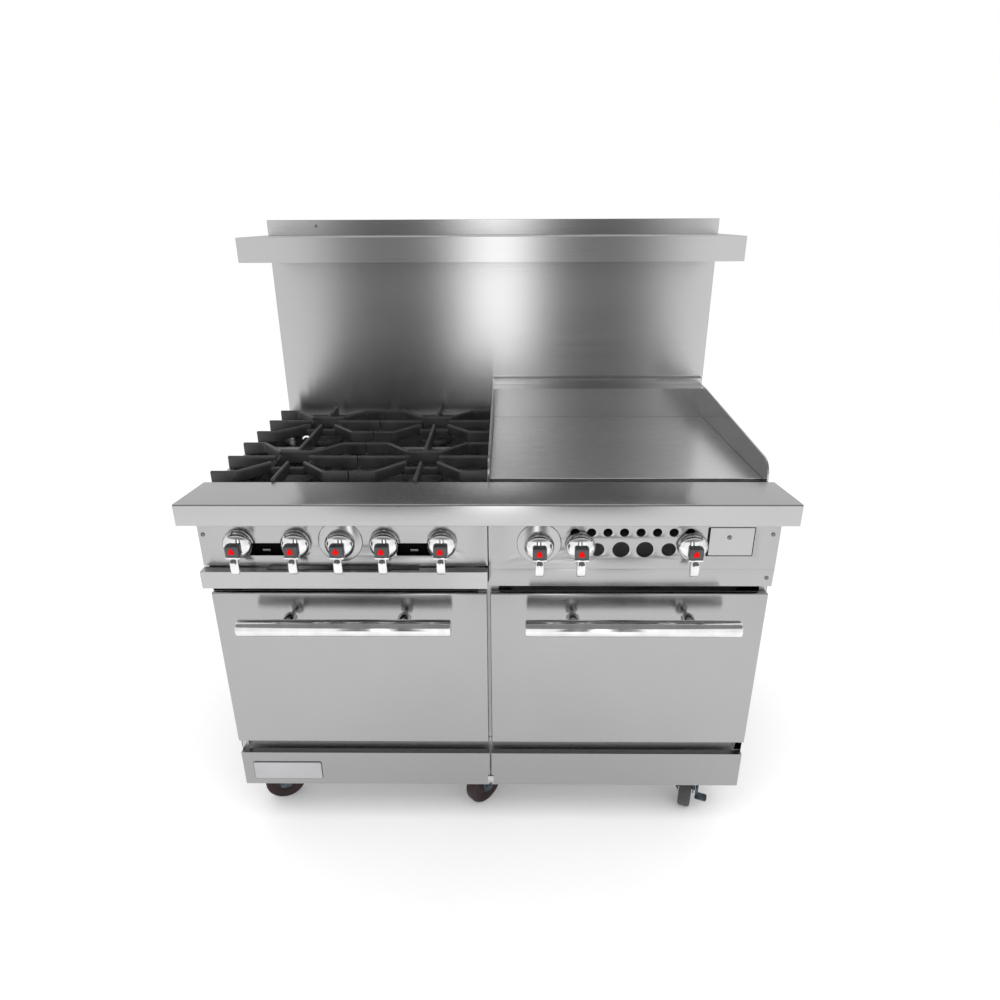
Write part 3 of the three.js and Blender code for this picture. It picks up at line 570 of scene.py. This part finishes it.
def control_panel_sheet(name, x0, x1, bottom, holes):
    """A panel with returns at its top and outer end, and a folded band where it reaches below the fold."""
    y = behind(PANEL_SETBACK)
    folded = bottom < PANEL_FOLD
    plate_bottom = PANEL_FOLD if folded else bottom
    outline = rounded_rectangle(x0, x1, plate_bottom, PANEL_TOP, 0.0012)
    builder = curve_plate([outline, *holes], SHEET, 0.0005)
    standing_plate(builder, y + SHEET / 2)
    if folded:
        band = bmesh.new()
        rounded_block(band, (x0, 0, bottom - PANEL_FOLD), (x1, SHEET, 0.0004), 0.0006)
        band.transform(Matrix.Translation((0, y, PANEL_FOLD)) @ Matrix.Rotation(
            math.radians(PANEL_FOLD_ANGLE), 4, "X"))
        shape = bpy.data.meshes.new("band")
        band.to_mesh(shape)
        band.free()
        builder.from_mesh(shape)
        bpy.data.meshes.remove(shape)
    rounded_block(builder, (x0 + 0.001, y + 0.001, PANEL_TOP - SHEET),
                  (x1 - 0.001, y + PANEL_RETURN, PANEL_TOP), 0.0005)
    outer = x0 if x0 == -HALF_WIDTH else x1 - SHEET
    rounded_block(builder, (outer, y + 0.001, plate_bottom),
                  (outer + SHEET, y + PANEL_RETURN, PANEL_TOP), 0.0005)
    place_piece(name + "_sheet", finished(builder), PANEL_STEEL_SHADED, "range_body", [name])


def control_panels():
    """The left panel with its windows, and the right one with its vents and the drawer's hole."""
    windows = [rounded_rectangle(x0, x1, WINDOW_BOTTOM, WINDOW_TOP, 0.002) for x0, x1 in WINDOWS]
    holes = windows + stem_holes(-1)
    control_panel_sheet("control_panel_left", -HALF_WIDTH, -0.001, PANEL_BOTTOM_LEFT, holes)
    small = vent_row(SMALL_VENT_START, SMALL_VENT_PITCH, SMALL_VENT_HEIGHT, SMALL_VENT_RADII)
    large = vent_row(LARGE_VENT_START, LARGE_VENT_PITCH, LARGE_VENT_HEIGHT, LARGE_VENT_RADII)
    drawer = rounded_rectangle(*DRAWER_HOLE, 0.002)
    holes = small + large + [drawer] + stem_holes(1)
    control_panel_sheet("control_panel_right", 0.001, HALF_WIDTH, PANEL_BOTTOM_RIGHT, holes)


def window_wells():
    """Wells behind the lighting windows, near-black as painted shade for their dark inside, each with a small
    bright clip inside.
    """
    y = behind(PANEL_SETBACK) + SHEET + 0.0002
    for number, (x0, x1) in enumerate(WINDOWS, 1):
        low = (x0 - WELL_MARGIN, WINDOW_BOTTOM - WELL_MARGIN)
        high = (x1 + WELL_MARGIN, WINDOW_TOP + WELL_MARGIN)
        builder = bmesh.new()
        wall = WELL_WALL
        deep = y + WELL_DEPTH
        rounded_block(builder, (low[0], deep, low[1]), (high[0], deep + wall, high[1]), 0.0004, 1)
        for z in (low[1], high[1] - wall):
            rounded_block(builder, (low[0], y, z), (high[0], deep + 0.0005, z + wall), 0.0004, 1)
        for x in (low[0], high[0] - wall):
            rounded_block(builder, (x, y, low[1]), (x + wall, deep + 0.0005, high[1]), 0.0004, 1)
        # The well's near-black colour is painted shade.
        place_piece(f"window_well_{number}", finished(builder), PAINTED_SHADE_BLACK, "range_body")
        clip = bmesh.new()
        middle = (x0 + x1) / 2
        rounded_block(clip, (middle - 0.012, deep - 0.006, WINDOW_BOTTOM + 0.002),
                      (middle + 0.006, deep - 0.001, WINDOW_BOTTOM + 0.009), 0.001)
        place_piece(f"window_clip_{number}", finished(clip), SCREW_STEEL, "range_body")


def tray_hand_slot():
    """A channel inside the crumb tray's bar, under its long finger slot, near-black as painted shade for the
    dark inside of the slot.
    """
    margin = 0.002
    sheet = 0.001
    edge = 0.0003
    x0 = HAND_SLOT[0] - margin
    x1 = HAND_SLOT[1] + margin
    builder = bmesh.new()
    front = behind(0.0665)
    back = behind(0.0805)
    bottom = TRAY_TOP - 0.024
    rounded_block(builder, (x0, front, bottom), (x1, back, bottom + sheet), edge, 1)
    rounded_block(builder, (x0, back - sheet, bottom), (x1, back, TRAY_TOP - 0.0055), edge, 1)
    # A near-black sheet that stands for the shade in the slot: painted shade.
    place_piece("tray_slot_painted_shade", finished(builder), PAINTED_SHADE_BLACK, "crumb_tray")


def doors():
    for side in ("left", "right"):
        low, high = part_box("door_" + side)
        builder = bmesh.new()
        rounded_block(builder, low, high, 0.0035, 5)
        place_piece(f"door_{side}_skin", finished(builder), DOOR_STEEL_SHADED, "door_" + side,
                    ["door_" + side])


# ---------- knobs ----------

def knob(index, x):
    """A domed chrome skirt with a grey grip, a hanging lever, its stem and the red mark above."""
    z = panel_height(x)
    body = f"knob_{index}"
    front = behind(PANEL_SETBACK)
    place = facing_front(x, front, z)
    skirt = bmesh.new()
    dome = [(0.032 * math.cos(t), 0.0065 + 0.0205 * math.sin(t)) for t in
            (math.radians(7.5 * k) for k in range(11))]
    lathe(skirt, [(0, 0.003), (0.030, 0.003), (0.0315, 0.004), *dome, (0, 0.0273)], place, 64)
    place_piece(f"{body}_skirt", finished(skirt, 30), CHROME, body, [body])
    grip = bmesh.new()
    rounded_block(grip, (x - 0.0145, front - 0.0442, z - 0.0125),
                  (x + 0.0145, front - 0.026, z + 0.0115), 0.0025, 4)
    place_piece(f"{body}_grip", finished(grip), KNOB_GREY, body)
    lever = bmesh.new()
    rounded_block(lever, (x - 0.0150, front - 0.0440, z - 0.0175),
                  (x + 0.0150, front - 0.0262, z - 0.0127), 0.0014, 3)
    sections = [
        (-0.0150, 0.0085, 0.0260, 0.0405), (-0.0220, 0.0090, 0.0270, 0.0420),
        (-0.0300, 0.0095, 0.0275, 0.0435), (-0.0430, 0.0095, 0.0290, 0.0430),
        (-0.0500, 0.0093, 0.0305, 0.0415), (-0.0538, 0.0082, 0.0320, 0.0395),
        (-0.0550, 0.0062, 0.0335, 0.0375),
    ]
    rings = []
    for down, half, near, far in sections:
        ring = rounded_rectangle(-half, half, near, far, min(half, (far - near) / 2) * 0.5, 3)
        rings.append([(x + u, front - v, z + down) for u, v in ring])
    ring_loft(lever, rings)
    place_piece(f"{body}_lever", finished(lever, 50), CHROME, body)
    # A dark flat piece on the lever's face: painted shade under its top bar.
    arch = bmesh.new()
    arch_outline = filleted([(-0.0065, -0.0265), (0.0065, -0.0265), (0.0065, -0.0185), (-0.0065, -0.0185)],
                            [0.001, 0.001, 0.004, 0.004], 4)
    prism(arch, arch_outline, lambda u, v, w: (x + u, w, z + v), front - 0.0436, front - 0.038)
    place_piece(f"{body}_arch", finished(arch), LEVER_PAINTED_SHADE, body)
    stem = bmesh.new()
    lathe(stem, [(0, -0.019), (0.0045, -0.019), (0.005, -0.018), (0.005, 0.004), (0, 0.004)], place, 24)
    place_piece(f"{body}_stem", finished(stem), BRIGHT_ZINC, body)
    mark = bmesh.new()
    y_face = front - 0.0446
    outline = filleted([
        (-0.0055, -0.006), (0.0055, -0.006), (0.0055, 0.001), (0.0, 0.0085), (-0.0055, 0.001),
    ], [0.0012] * 5, 3)
    prism(mark, outline, lambda u, v, w: (x + u, w, z + v), y_face - 0.0006, y_face + 0.0006)
    place_piece(f"{body}_mark", finished(mark), RED_MARK, body)


def knobs():
    for index, x in enumerate(KNOB_PLACES, 1):
        knob(index, x)


def bezels():
    """Flat rings on the panel round each knob: wide ones at the oven thermostats."""
    for index, x in enumerate(KNOB_PLACES, 1):
        wide = index in THERMOSTATS
        outer = WIDE_BEZEL if wide else NARROW_BEZEL
        lift = WIDE_BEZEL_LIFT if wide else 0.0
        builder = bmesh.new()
        place = facing_front(x, behind(PANEL_SETBACK), panel_height(x) + lift)
        washer(builder, [
            (0.0085, 0.0), (outer - 0.001, 0.0), (outer, 0.0006),
            (outer - 0.0008, 0.0018), (outer - 0.002, 0.0024), (0.0085, 0.0024),
        ], place, 64)
        place_piece(f"knob_bezel_{index}", finished(builder, 30), STAINLESS, "range_body")


# ---------- handles ----------

def handles():
    """A thick round bar on two turned posts across each door."""
    door_face = behind(DOOR_SETBACK)
    y = door_face - HANDLE_STANDOFF
    for side, centre in (("left", -HANDLE_CENTRE), ("right", HANDLE_CENTRE)):
        node = "handle_" + side
        builder = bmesh.new()
        half = HANDLE_LENGTH / 2
        r = HANDLE_RADIUS
        lying = Matrix.Translation((centre, y, HANDLE_HEIGHT)) @ Matrix.Rotation(math.radians(90), 4, "Y")
        lathe(builder, [
            (0, -half), (r * 0.7, -half), (r * 0.92, -half + 0.0012), (r, -half + 0.004),
            (r, half - 0.004), (r * 0.92, half - 0.0012), (r * 0.7, half), (0, half),
        ], lying, 64)
        place_piece(f"{node}_bar", finished(builder, 30), CHROME, "door_" + side, [node])
        for number, offset in ((1, -POST_OFFSET), (2, POST_OFFSET)):
            post = bmesh.new()
            lathe(post, [
                (0, 0.0004), (0.0062, 0.0004), (0.0058, 0.002), (0.0056, 0.020), (0.0075, 0.0215),
                (0.0138, 0.0225), (0.0150, 0.0245), (0.0150, 0.050), (0.0120, 0.056), (0, 0.056),
            ], facing_front(centre + offset, door_face, HANDLE_HEIGHT), 40)
            place_piece(f"{node}_post_{number}", finished(post, 30), CHROME, "door_" + side)


# ---------- grates and burners ----------

def grate_centre(index):
    column = (index - 1) % 2
    row = (index - 1) // 2
    x = GRATE_LEFT + GRATE_SIZE / 2 + column * GRATE_PITCH
    y = behind(GRATE_FRONT_SETBACK + GRATE_SIZE / 2 + row * GRATE_PITCH)
    return x, y


def finger(builder, path, top_half=0.0042, bottom_half=0.0050):
    """A cast finger that follows a path of (x, y, top, bottom), narrower at its top."""
    rings = []
    for i, (x, y, top, bottom) in enumerate(path):
        before = Vector(path[max(i - 1, 0)][:2])
        after = Vector(path[min(i + 1, len(path) - 1)][:2])
        side = (after - before).normalized().orthogonal()
        ring = [
            (x + side.x * across, y + side.y * across, z)
            for across, z in (
                (-bottom_half, bottom), (bottom_half, bottom), (top_half, top - 0.002), (top_half * 0.5, top),
                (-top_half * 0.5, top), (-top_half, top - 0.002),
            )
        ]
        rings.append(ring)
    ring_loft(builder, rings)


def grate_mesh():
    """One cast grate: fingers from its sides, joined by a square rim that is low on all but its back."""
    half = GRATE_SIZE / 2
    low = 0
    top = GRATE_TOP - GRATE_BOTTOM
    rim_top = top - RIM_DROP
    rim = RIM_HALF
    tip = FINGER_TIP
    bend = FINGER_BEND
    builder = bmesh.new()
    finger(builder, [(-rim - 0.003, -rim, rim_top, low), (rim + 0.003, -rim, rim_top, low)])
    finger(builder, [(-rim - 0.003, rim, top - 0.0005, low), (rim + 0.003, rim, top - 0.0005, low)])
    for side in (-1, 1):
        finger(builder, [(side * rim, -rim - 0.003, rim_top, low), (side * rim, rim + 0.003, rim_top, low)])
        finger(builder, [(side * tip, 0, top, low + 0.006), (side * 0.075, 0, top, low + 0.003),
                         (side * half, 0, top, low)])
        finger(builder, [(0, side * tip, top, low + 0.006), (0, side * 0.075, top, low + 0.003),
                         (0, side * half, top, low)])
        for end in (-1, 1):
            y = end * BAR_PITCH
            finger(builder, [(side * half, y, top, low), (side * (bend + 0.006), y, top, low + 0.002),
                             (side * bend, y * 0.985, top, low + 0.003),
                             (side * (bend - 0.005), y * 0.94, top, low + 0.003),
                             (side * tip, end * tip, top, low + 0.006)])
    return finished(builder)


def remeshed(mesh, voxel, smoothing):
    """The mesh's shells fused into one cast skin, softened and thinned out."""
    holder = bpy.data.objects.new("cast", mesh)
    SCENE.collection.objects.link(holder)
    remesh = holder.modifiers.new("fuse", "REMESH")
    remesh.mode = "VOXEL"
    remesh.voxel_size = voxel
    smooth = holder.modifiers.new("soften", "SMOOTH")
    smooth.iterations = smoothing
    smooth.factor = 0.5
    thin = holder.modifiers.new("thin_out", "DECIMATE")
    thin.ratio = 0.35
    bpy.context.view_layer.update()
    fused = bpy.data.meshes.new_from_object(holder.evaluated_get(bpy.context.evaluated_depsgraph_get()))
    bpy.data.objects.remove(holder)
    fused.shade_smooth()
    return fused


def grates():
    """Four grates that share one mesh."""
    mesh = remeshed(grate_mesh(), 0.0015, 3)
    mesh.materials.append(CAST_IRON)
    for index in range(1, 5):
        x, y = grate_centre(index)
        name = f"grate_{index}_casting"
        piece = bpy.data.objects.new(name, mesh)
        SCENE.collection.objects.link(piece)
        piece.location = (x, y, GRATE_BOTTOM)
        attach(piece, f"grate_{index}")
        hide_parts(f"grate_{index}")


def burners():
    """Under each grate a round burner head on its gas tube, with a ring of ports."""
    for index in range(1, 5):
        x, y = grate_centre(index)
        node = f"burner_{index}"
        builder = bmesh.new()
        place = Matrix.Translation((x, y, 0))
        lathe(builder, [
            (0, 0.828), (0.024, 0.828), (0.033, 0.838), (0.034, 0.853), (0.026, 0.858), (0.030, 0.864),
            (0.043, 0.871), (BURNER_RADIUS, 0.874), (BURNER_RADIUS, 0.881), (0.042, 0.886),
            (0.030, 0.8885), (0.016, 0.8905), (0, 0.891),
        ], place, 64)
        front = index < 3
        tube_x = x - BURNER_TUBE_OFFSET if front else x + BURNER_TUBE_OFFSET
        mouth = behind(BURNER_TUBE_MOUTH)
        tube = Matrix.Translation((tube_x, y, BURNER_TUBE_HEIGHT)) @ Matrix.Rotation(math.radians(90), 4, "X")
        length = y - mouth
        lathe(builder, [(0, -0.012), (0.010, -0.011), (0.0128, -0.006), (0.013, 0.0), (0.013, length - 0.03),
                        (0.019, length), (0.017, length + 0.001), (0, length - 0.006)], tube, 32)
        arm = Matrix.Translation((tube_x, y - 0.004, BURNER_TUBE_HEIGHT)) @ Matrix.Rotation(
            math.radians(90 if front else -90), 4, "Y")
        lathe(builder, [(0, 0), (0.012, 0), (0.012, BURNER_TUBE_OFFSET), (0, BURNER_TUBE_OFFSET)], arm, 32)
        place_piece(f"{node}_casting", finished(builder, 30), BURNER_IRON, "range_body", [node])
        ports = bmesh.new()
        ring = BURNER_RADIUS - 0.0003
        for k in range(PORT_COUNT):
            turn = 2 * math.pi * k / PORT_COUNT
            spot = Vector((x + ring * math.cos(turn), y + ring * math.sin(turn), PORT_HEIGHT))
            look = Matrix.Translation(spot) @ Matrix.Rotation(turn, 4, "Z") @ Matrix.Rotation(
                math.radians(90), 4, "Y")
            lathe(ports, [(0, -0.002), (0.0018, -0.002), (0.0018, 0.0008), (0, 0.0008)], look, 12)
        place_piece(f"{node}_ports", finished(ports), BLACK_PAINT, "range_body")


# ---------- casters ----------

def caster_place(index):
    """Place of a caster's upright axis on the floor, turned so that its wheel trails towards +X."""
    column = (index - 1) % 3
    row = (index - 1) // 3
    spot = Matrix.Translation(((column - 1) * CASTER_X, behind(CASTER_SETBACKS[row]), 0))
    return spot @ Matrix.Rotation(math.radians(CASTER_TURNS[index - 1]), 4, "Z")


def axle_place(index, degrees=90):
    """Place of a caster wheel's centre, with Z along its axle."""
    centre = Matrix.Translation((CASTER_TRAIL, 0, WHEEL_RADIUS))
    return caster_place(index) @ centre @ Matrix.Rotation(math.radians(degrees), 4, "X")


def caster_fork(index):
    """A swivel head with two pressed cheeks, its axle and the nuts on it."""
    place = caster_place(index)
    node = f"caster_fork_{index}"
    builder = bmesh.new()
    top = DECK_BOTTOM - 0.0044
    lathe(builder, [
        (0, 0.117), (0.028, 0.117), (0.033, 0.120), (0.0355, 0.125), (0.0355, 0.130), (0.034, 0.1315),
        (0.0355, 0.133), (0.0355, 0.138), (0.030, top - 0.002), (0.028, top), (0, top),
    ], place, 48)
    inner = WHEEL_WIDTH / 2 + 0.003
    outer = inner + FORK_WALL
    outline = filleted([
        (-0.027, 0.118), (0.030, 0.118), (CASTER_TRAIL + 0.018, WHEEL_RADIUS + 0.016),
        (CASTER_TRAIL + 0.012, WHEEL_RADIUS - 0.012), (CASTER_TRAIL - 0.012, WHEEL_RADIUS - 0.012),
        (CASTER_TRAIL - 0.022, WHEEL_RADIUS + 0.010),
    ], [0.004, 0.012, 0.014, 0.008, 0.008, 0.014], 5)
    for low in (inner, -outer):
        prism(builder, outline, lambda u, v, w: place @ Vector((u, w, v)), low, low + FORK_WALL)
    crown = rounded_rectangle(-0.026, 0.026, -outer, outer, 0.004)
    prism(builder, crown, lambda u, v, w: place @ Vector((u, v, w)), 0.1125, 0.1175)
    end = inner + 0.006
    lathe(builder, [
        (0, -end), (0.0055, -end), (0.006, -end + 0.001), (0.006, end - 0.001), (0.0055, end), (0, end),
    ], axle_place(index), 24)
    place_piece(f"{node}_stamping", finished(builder, 35), ZINC, node, [node])
    nut = bmesh.new()
    thick = 0.004
    for low in (outer, -outer - thick):
        if index == BRAKED_CASTER and low > 0:
            continue
        lathe(nut, [(0, low), (0.010, low), (0.0105, low + 0.001), (0.0095, low + thick), (0, low + thick)],
              axle_place(index, -90), 6)
    place_piece(f"{node}_nuts", finished(nut, 30), ZINC, node)


def caster_wheel(index):
    """A solid wheel with a dished web; the wheel with the brake is grey, the others are maroon."""
    node = f"caster_wheel_{index}"
    half = WHEEL_WIDTH / 2
    r = WHEEL_RADIUS
    maroon = index != BRAKED_CASTER
    builder = bmesh.new()
    tread = [(0.034, -half + 0.003), (0.043, -half + 0.001), (0.0470, -half), (r - 0.0015, -half + 0.003),
             (r, -half + 0.008), (r, half - 0.008), (r - 0.0015, half - 0.003), (0.0470, half),
             (0.043, half - 0.001), (0.034, half - 0.003)]
    web = [(0.030, half - 0.0065), (0.018, half - 0.0065), (0.0155, half - 0.002), (0.014, half),
           (0.0075, half), (0.0064, half - 0.001)]
    mirrored = [(radius, -along) for radius, along in reversed(web)]
    washer(builder, tread + web + mirrored, axle_place(index), 72)
    material = MAROON_WHEEL if maroon else GREY_WHEEL
    place_piece(f"{node}_tyre", finished(builder, 35), material, node, [node])


def brake_lever():
    """The foot lever outside one fork cheek, with its hub round the axle."""
    place = caster_place(BRAKED_CASTER)
    inner = WHEEL_WIDTH / 2 + 0.010
    z = WHEEL_RADIUS
    builder = bmesh.new()
    arm = filleted([
        (CASTER_TRAIL - 0.008, z - 0.024), (CASTER_TRAIL + 0.008, z - 0.024),
        (CASTER_TRAIL + 0.011, z + 0.004), (CASTER_TRAIL, z + 0.013), (CASTER_TRAIL - 0.011, z + 0.004),
    ], [0.002, 0.002, 0.006, 0.007, 0.006], 5)
    prism(builder, arm, lambda u, v, w: place @ Vector((u, w, v)), inner, inner + 0.004)
    rounded = rounded_rectangle(CASTER_TRAIL - 0.010, CASTER_TRAIL + 0.012, inner, inner + 0.030, 0.005, 5)
    prism(builder, rounded, lambda u, v, w: place @ Vector((u, v, w)), z - 0.026, z - 0.0215)
    cap = inner + 0.007
    lathe(builder, [(0, inner), (0.013, inner), (0.013, inner + 0.006), (0.0115, cap), (0, cap)],
          axle_place(BRAKED_CASTER, -90), 32)
    place_piece("brake_lever_pressing", finished(builder, 35), ZINC, "brake_lever",
                ["brake_lever"])


def casters():
    for index in range(1, 7):
        caster_fork(index)
        caster_wheel(index)
    brake_lever()


# ---------- small fittings ----------

def screw(name, x, y, z, radius, body="range_body"):
    """A domed screw head on a face that looks to the front."""
    builder = bmesh.new()
    lathe(builder, [
        (0, -0.001), (radius * 0.6, -0.001), (radius, 0), (radius, radius * 0.15),
        (radius * 0.8, radius * 0.42), (radius * 0.5, radius * 0.52), (radius * 0.42, radius * 0.50),
        (radius * 0.36, radius * 0.2), (0, radius * 0.2),
    ], facing_front(x, y, z), 24)
    place_piece(name, finished(builder, 50), SCREW_STEEL, body)


def small_fittings():
    """Screws on the panels and the riser, and the rivet on the grease drawer's face."""
    panel = behind(PANEL_SETBACK)
    head = 0.0046
    screw("panel_screw_1", -0.600, panel, 0.823, head)
    screw("panel_screw_2", 0.595, panel, 0.824, head)
    band_screw_height = 0.721
    fold_drop = math.sin(math.radians(PANEL_FOLD_ANGLE)) * (PANEL_FOLD - band_screw_height)
    screw("panel_screw_3", 0.596, panel + fold_drop, band_screw_height, head)
    screw("riser_screw", -0.477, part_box("backguard")[0].y, 1.418, 0.0035)
    screw("drawer_rivet", 0.505, panel, 0.817, 0.0050, "grease_drawer")


def blank_badge():
    """A plain plate on the left kick panel: a thin dark border round a smooth face, with nothing on it."""
    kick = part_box("kick_panel_left")[0].y
    x0, x1, z0, z1 = BADGE
    border = curve_plate([rounded_rectangle(x0, x1, z0, z1, 0.005, 6)], 0.0016, 0.0004)
    standing_plate(border, kick - 0.0008)
    place_piece("badge_border", finished(border), BADGE_EDGE, "range_body")
    rim = BADGE_BORDER
    face = curve_plate([rounded_rectangle(x0 + rim, x1 - rim, z0 + rim, z1 - rim, 0.004, 6)], 0.0010, 0.0003)
    standing_plate(face, kick - 0.0019)
    place_piece("badge_face", finished(face), BADGE_FACE, "range_body")


def kick_clip():
    """The small spring clip that joins the two kick panels near the bottom of their gap."""
    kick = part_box("kick_panel_left")[0].y
    builder = bmesh.new()
    rounded_block(builder, (-0.0070, kick - 0.0022, 0.146), (0.0070, kick - 0.0002, 0.166), 0.0008)
    place_piece("kick_clip", finished(builder), BRIGHT_ZINC, "range_body")


# ---------- carried CAD nodes ----------

def carried_nodes():
    """Materials for the CAD nodes that are shown as they are."""
    for node in ("backguard", "high_shelf", "crumb_tray", "grease_drawer"):
        dress(node, STAINLESS)
    dress("griddle_splash", SPLASH_STEEL)
    for node in ("kick_panel_left", "kick_panel_right"):
        dress(node, KICK_STEEL_SHADED)
    for node in ("side_panel_left", "side_panel_right"):
        dress(node, STAINLESS_SIDE)
    for node in ("back_panel", "base_frame", "centre_post", "griddle_burner", "burner_box"):
        dress(node, ALUMINISED, 0.0006)
    for side in ("left", "right"):
        dress("oven_liner_" + side, ALUMINISED, 0.0006)
        dress("oven_burner_" + side, ALUMINISED, 0.0006)
        dress("door_liner_" + side, ALUMINISED, 0.0006)
        dress("oven_rack_" + side, CHROME, 0)
    dress("gas_manifold", BLACK_PIPE, 0.0006)
    dress("griddle_plate", GRIDDLE_STEEL, 0.001)


# ---------- stage, lights and camera ----------

def floor():
    """A round floor near the range, and a wide one beyond it that leaves no reflection."""
    material, nodes, links, shader = bare_material("pale_floor")
    shade = noise(nodes, links, object_place(nodes, links), scale=1.5, detail=2)
    links.new(two_tones(nodes, links, shade, (0.88, 0.88, 0.88), (0.91, 0.91, 0.91)),
              shader.inputs["Base Color"])
    shader.inputs["Roughness"].default_value = 0.9
    shader.inputs["Specular IOR Level"].default_value = 0.1
    shader.inputs["Emission Color"].default_value = (1, 1, 1, 1)
    shader.inputs["Emission Strength"].default_value = 0.12
    sides = 96
    discs = (("near_floor", 0.0, FLOOR_RADIUS), ("far_floor", FLOOR_RADIUS, FAR_FLOOR_RADIUS))
    for name, inner, outer in discs:
        builder = bmesh.new()
        rings = [[builder.verts.new((x, y, 0)) for x, y in circle(0, 0, radius, sides)]
                 for radius in (inner, outer) if radius]
        if len(rings) == 1:
            builder.faces.new(rings[0])
        else:
            for i in range(sides):
                j = (i + 1) % sides
                builder.faces.new((rings[0][i], rings[1][i], rings[1][j], rings[0][j]))
        mesh = bpy.data.meshes.new(name)
        builder.to_mesh(mesh)
        builder.free()
        mesh.materials.append(material)
        plane = bpy.data.objects.new(name, mesh)
        plane.visible_glossy = not inner
        SCENE.collection.objects.link(plane)


def add_ramp_stops(ramp, stops):
    """Fills a colour ramp with greys, given as pairs of position and value."""
    ramp.interpolation = "LINEAR"
    first, last = ramp.elements[0], ramp.elements[1]
    first.position, first.color = stops[0][0], (*[stops[0][1]] * 3, 1)
    last.position, last.color = stops[-1][0], (*[stops[-1][1]] * 3, 1)
    for position, value in stops[1:-1]:
        element = ramp.elements.new(position)
        element.color = (value, value, value, 1)


def studio_world():
    """A plain white room. Reflections show a bright window ahead of the range, with dark strips beside it."""
    world = bpy.data.worlds.new("studio")
    SCENE.world = world
    world.use_nodes = True
    nodes, links = world.node_tree.nodes, world.node_tree.links
    background = nodes["Background"]
    direction = nodes.new("ShaderNodeTexCoord").outputs["Generated"]
    parts = nodes.new("ShaderNodeSeparateXYZ")
    links.new(direction, parts.inputs["Vector"])
    ahead = nodes.new("ShaderNodeMath")
    ahead.operation = "MULTIPLY"
    ahead.inputs[1].default_value = -1
    links.new(parts.outputs["Y"], ahead.inputs[0])
    turn = nodes.new("ShaderNodeMath")
    turn.operation = "ARCTAN2"
    links.new(parts.outputs["X"], turn.inputs[0])
    links.new(ahead.outputs[0], turn.inputs[1])
    share = spread(nodes, links, turn.outputs[0], 0, 1, -math.pi, math.pi)
    ramp = nodes.new("ShaderNodeValToRGB")
    stops = [(-180, 0.74), (-50, 1.0), (-20, 1.15), (-15.5, 1.15), (-12.5, 0.22), (-4.8, 0.17), (-2.3, 2.7),
             (1.0, 2.7), (3.0, 0.17), (10.5, 0.19), (14, 1.3), (20, 1.2), (50, 1.0), (180, 0.74)]
    add_ramp_stops(ramp.color_ramp, [((angle + 180) / 360, value) for angle, value in stops])
    links.new(share, ramp.inputs["Fac"])
    height = spread(nodes, links, parts.outputs["Z"], 0, 1, 0.30, 0.46)
    in_front = spread(nodes, links, ahead.outputs[0], 0, 1, -0.15, 0.05)
    overhead = nodes.new("ShaderNodeMath")
    overhead.operation = "MULTIPLY"
    links.new(height, overhead.inputs[0])
    links.new(in_front, overhead.inputs[1])
    mixed = nodes.new("ShaderNodeMix")
    mixed.data_type = "RGBA"
    links.new(overhead.outputs[0], mixed.inputs["Factor"])
    links.new(ramp.outputs["Color"], mixed.inputs[6])
    mixed.inputs[7].default_value = (0.25, 0.25, 0.25, 1)
    mirrored = nodes.new("ShaderNodeLightPath").outputs["Is Glossy Ray"]
    plain = nodes.new("ShaderNodeMix")
    plain.data_type = "RGBA"
    links.new(mirrored, plain.inputs["Factor"])
    plain.inputs[6].default_value = (1, 1, 1, 1)
    links.new(mixed.outputs[2], plain.inputs[7])
    links.new(plain.outputs[2], background.inputs["Color"])
    background.inputs["Strength"].default_value = 1.0


def area_light(name, place, target, size, power):
    """A soft rectangular light that looks at the target and is not seen in reflections."""
    light = bpy.data.lights.new(name, "AREA")
    light.shape = "RECTANGLE"
    light.size, light.size_y = size
    light.energy = power
    lamp = bpy.data.objects.new(name, light)
    lamp.location = place
    aim = Vector(target) - Vector(place)
    lamp.rotation_euler = aim.to_track_quat("-Z", "Y").to_euler()
    lamp.visible_glossy = False
    SCENE.collection.objects.link(lamp)


def lights():
    area_light("key_above", (0, -1.6, 3.2), (0, 0, 0.8), (3.0, 1.6), 40)


def camera():
    lens = bpy.data.cameras.new("photo_view")
    lens.lens = LENS
    lens.sensor_width = 36
    lens.clip_start = 0.05
    lens.clip_end = 60
    viewer = bpy.data.objects.new("photo_view", lens)
    SCENE.collection.objects.link(viewer)
    down, heading, roll = (math.radians(angle) for angle in (CAMERA_DOWN, CAMERA_HEADING, CAMERA_ROLL))
    turn = Matrix.Rotation(heading, 4, "Z") @ Matrix.Rotation(math.pi / 2 - down, 4, "X")
    viewer.matrix_world = Matrix.Translation(CAMERA_PLACE) @ turn @ Matrix.Rotation(roll, 4, "Z")
    SCENE.camera = viewer


# ---------- the range ----------

front_ledge()
control_panels()
window_wells()
tray_hand_slot()
doors()
knobs()
bezels()
handles()
grates()
burners()
casters()
small_fittings()
blank_badge()
kick_clip()
carried_nodes()
floor()
studio_world()
lights()
camera()
SCENE.view_settings.view_transform = "Standard"
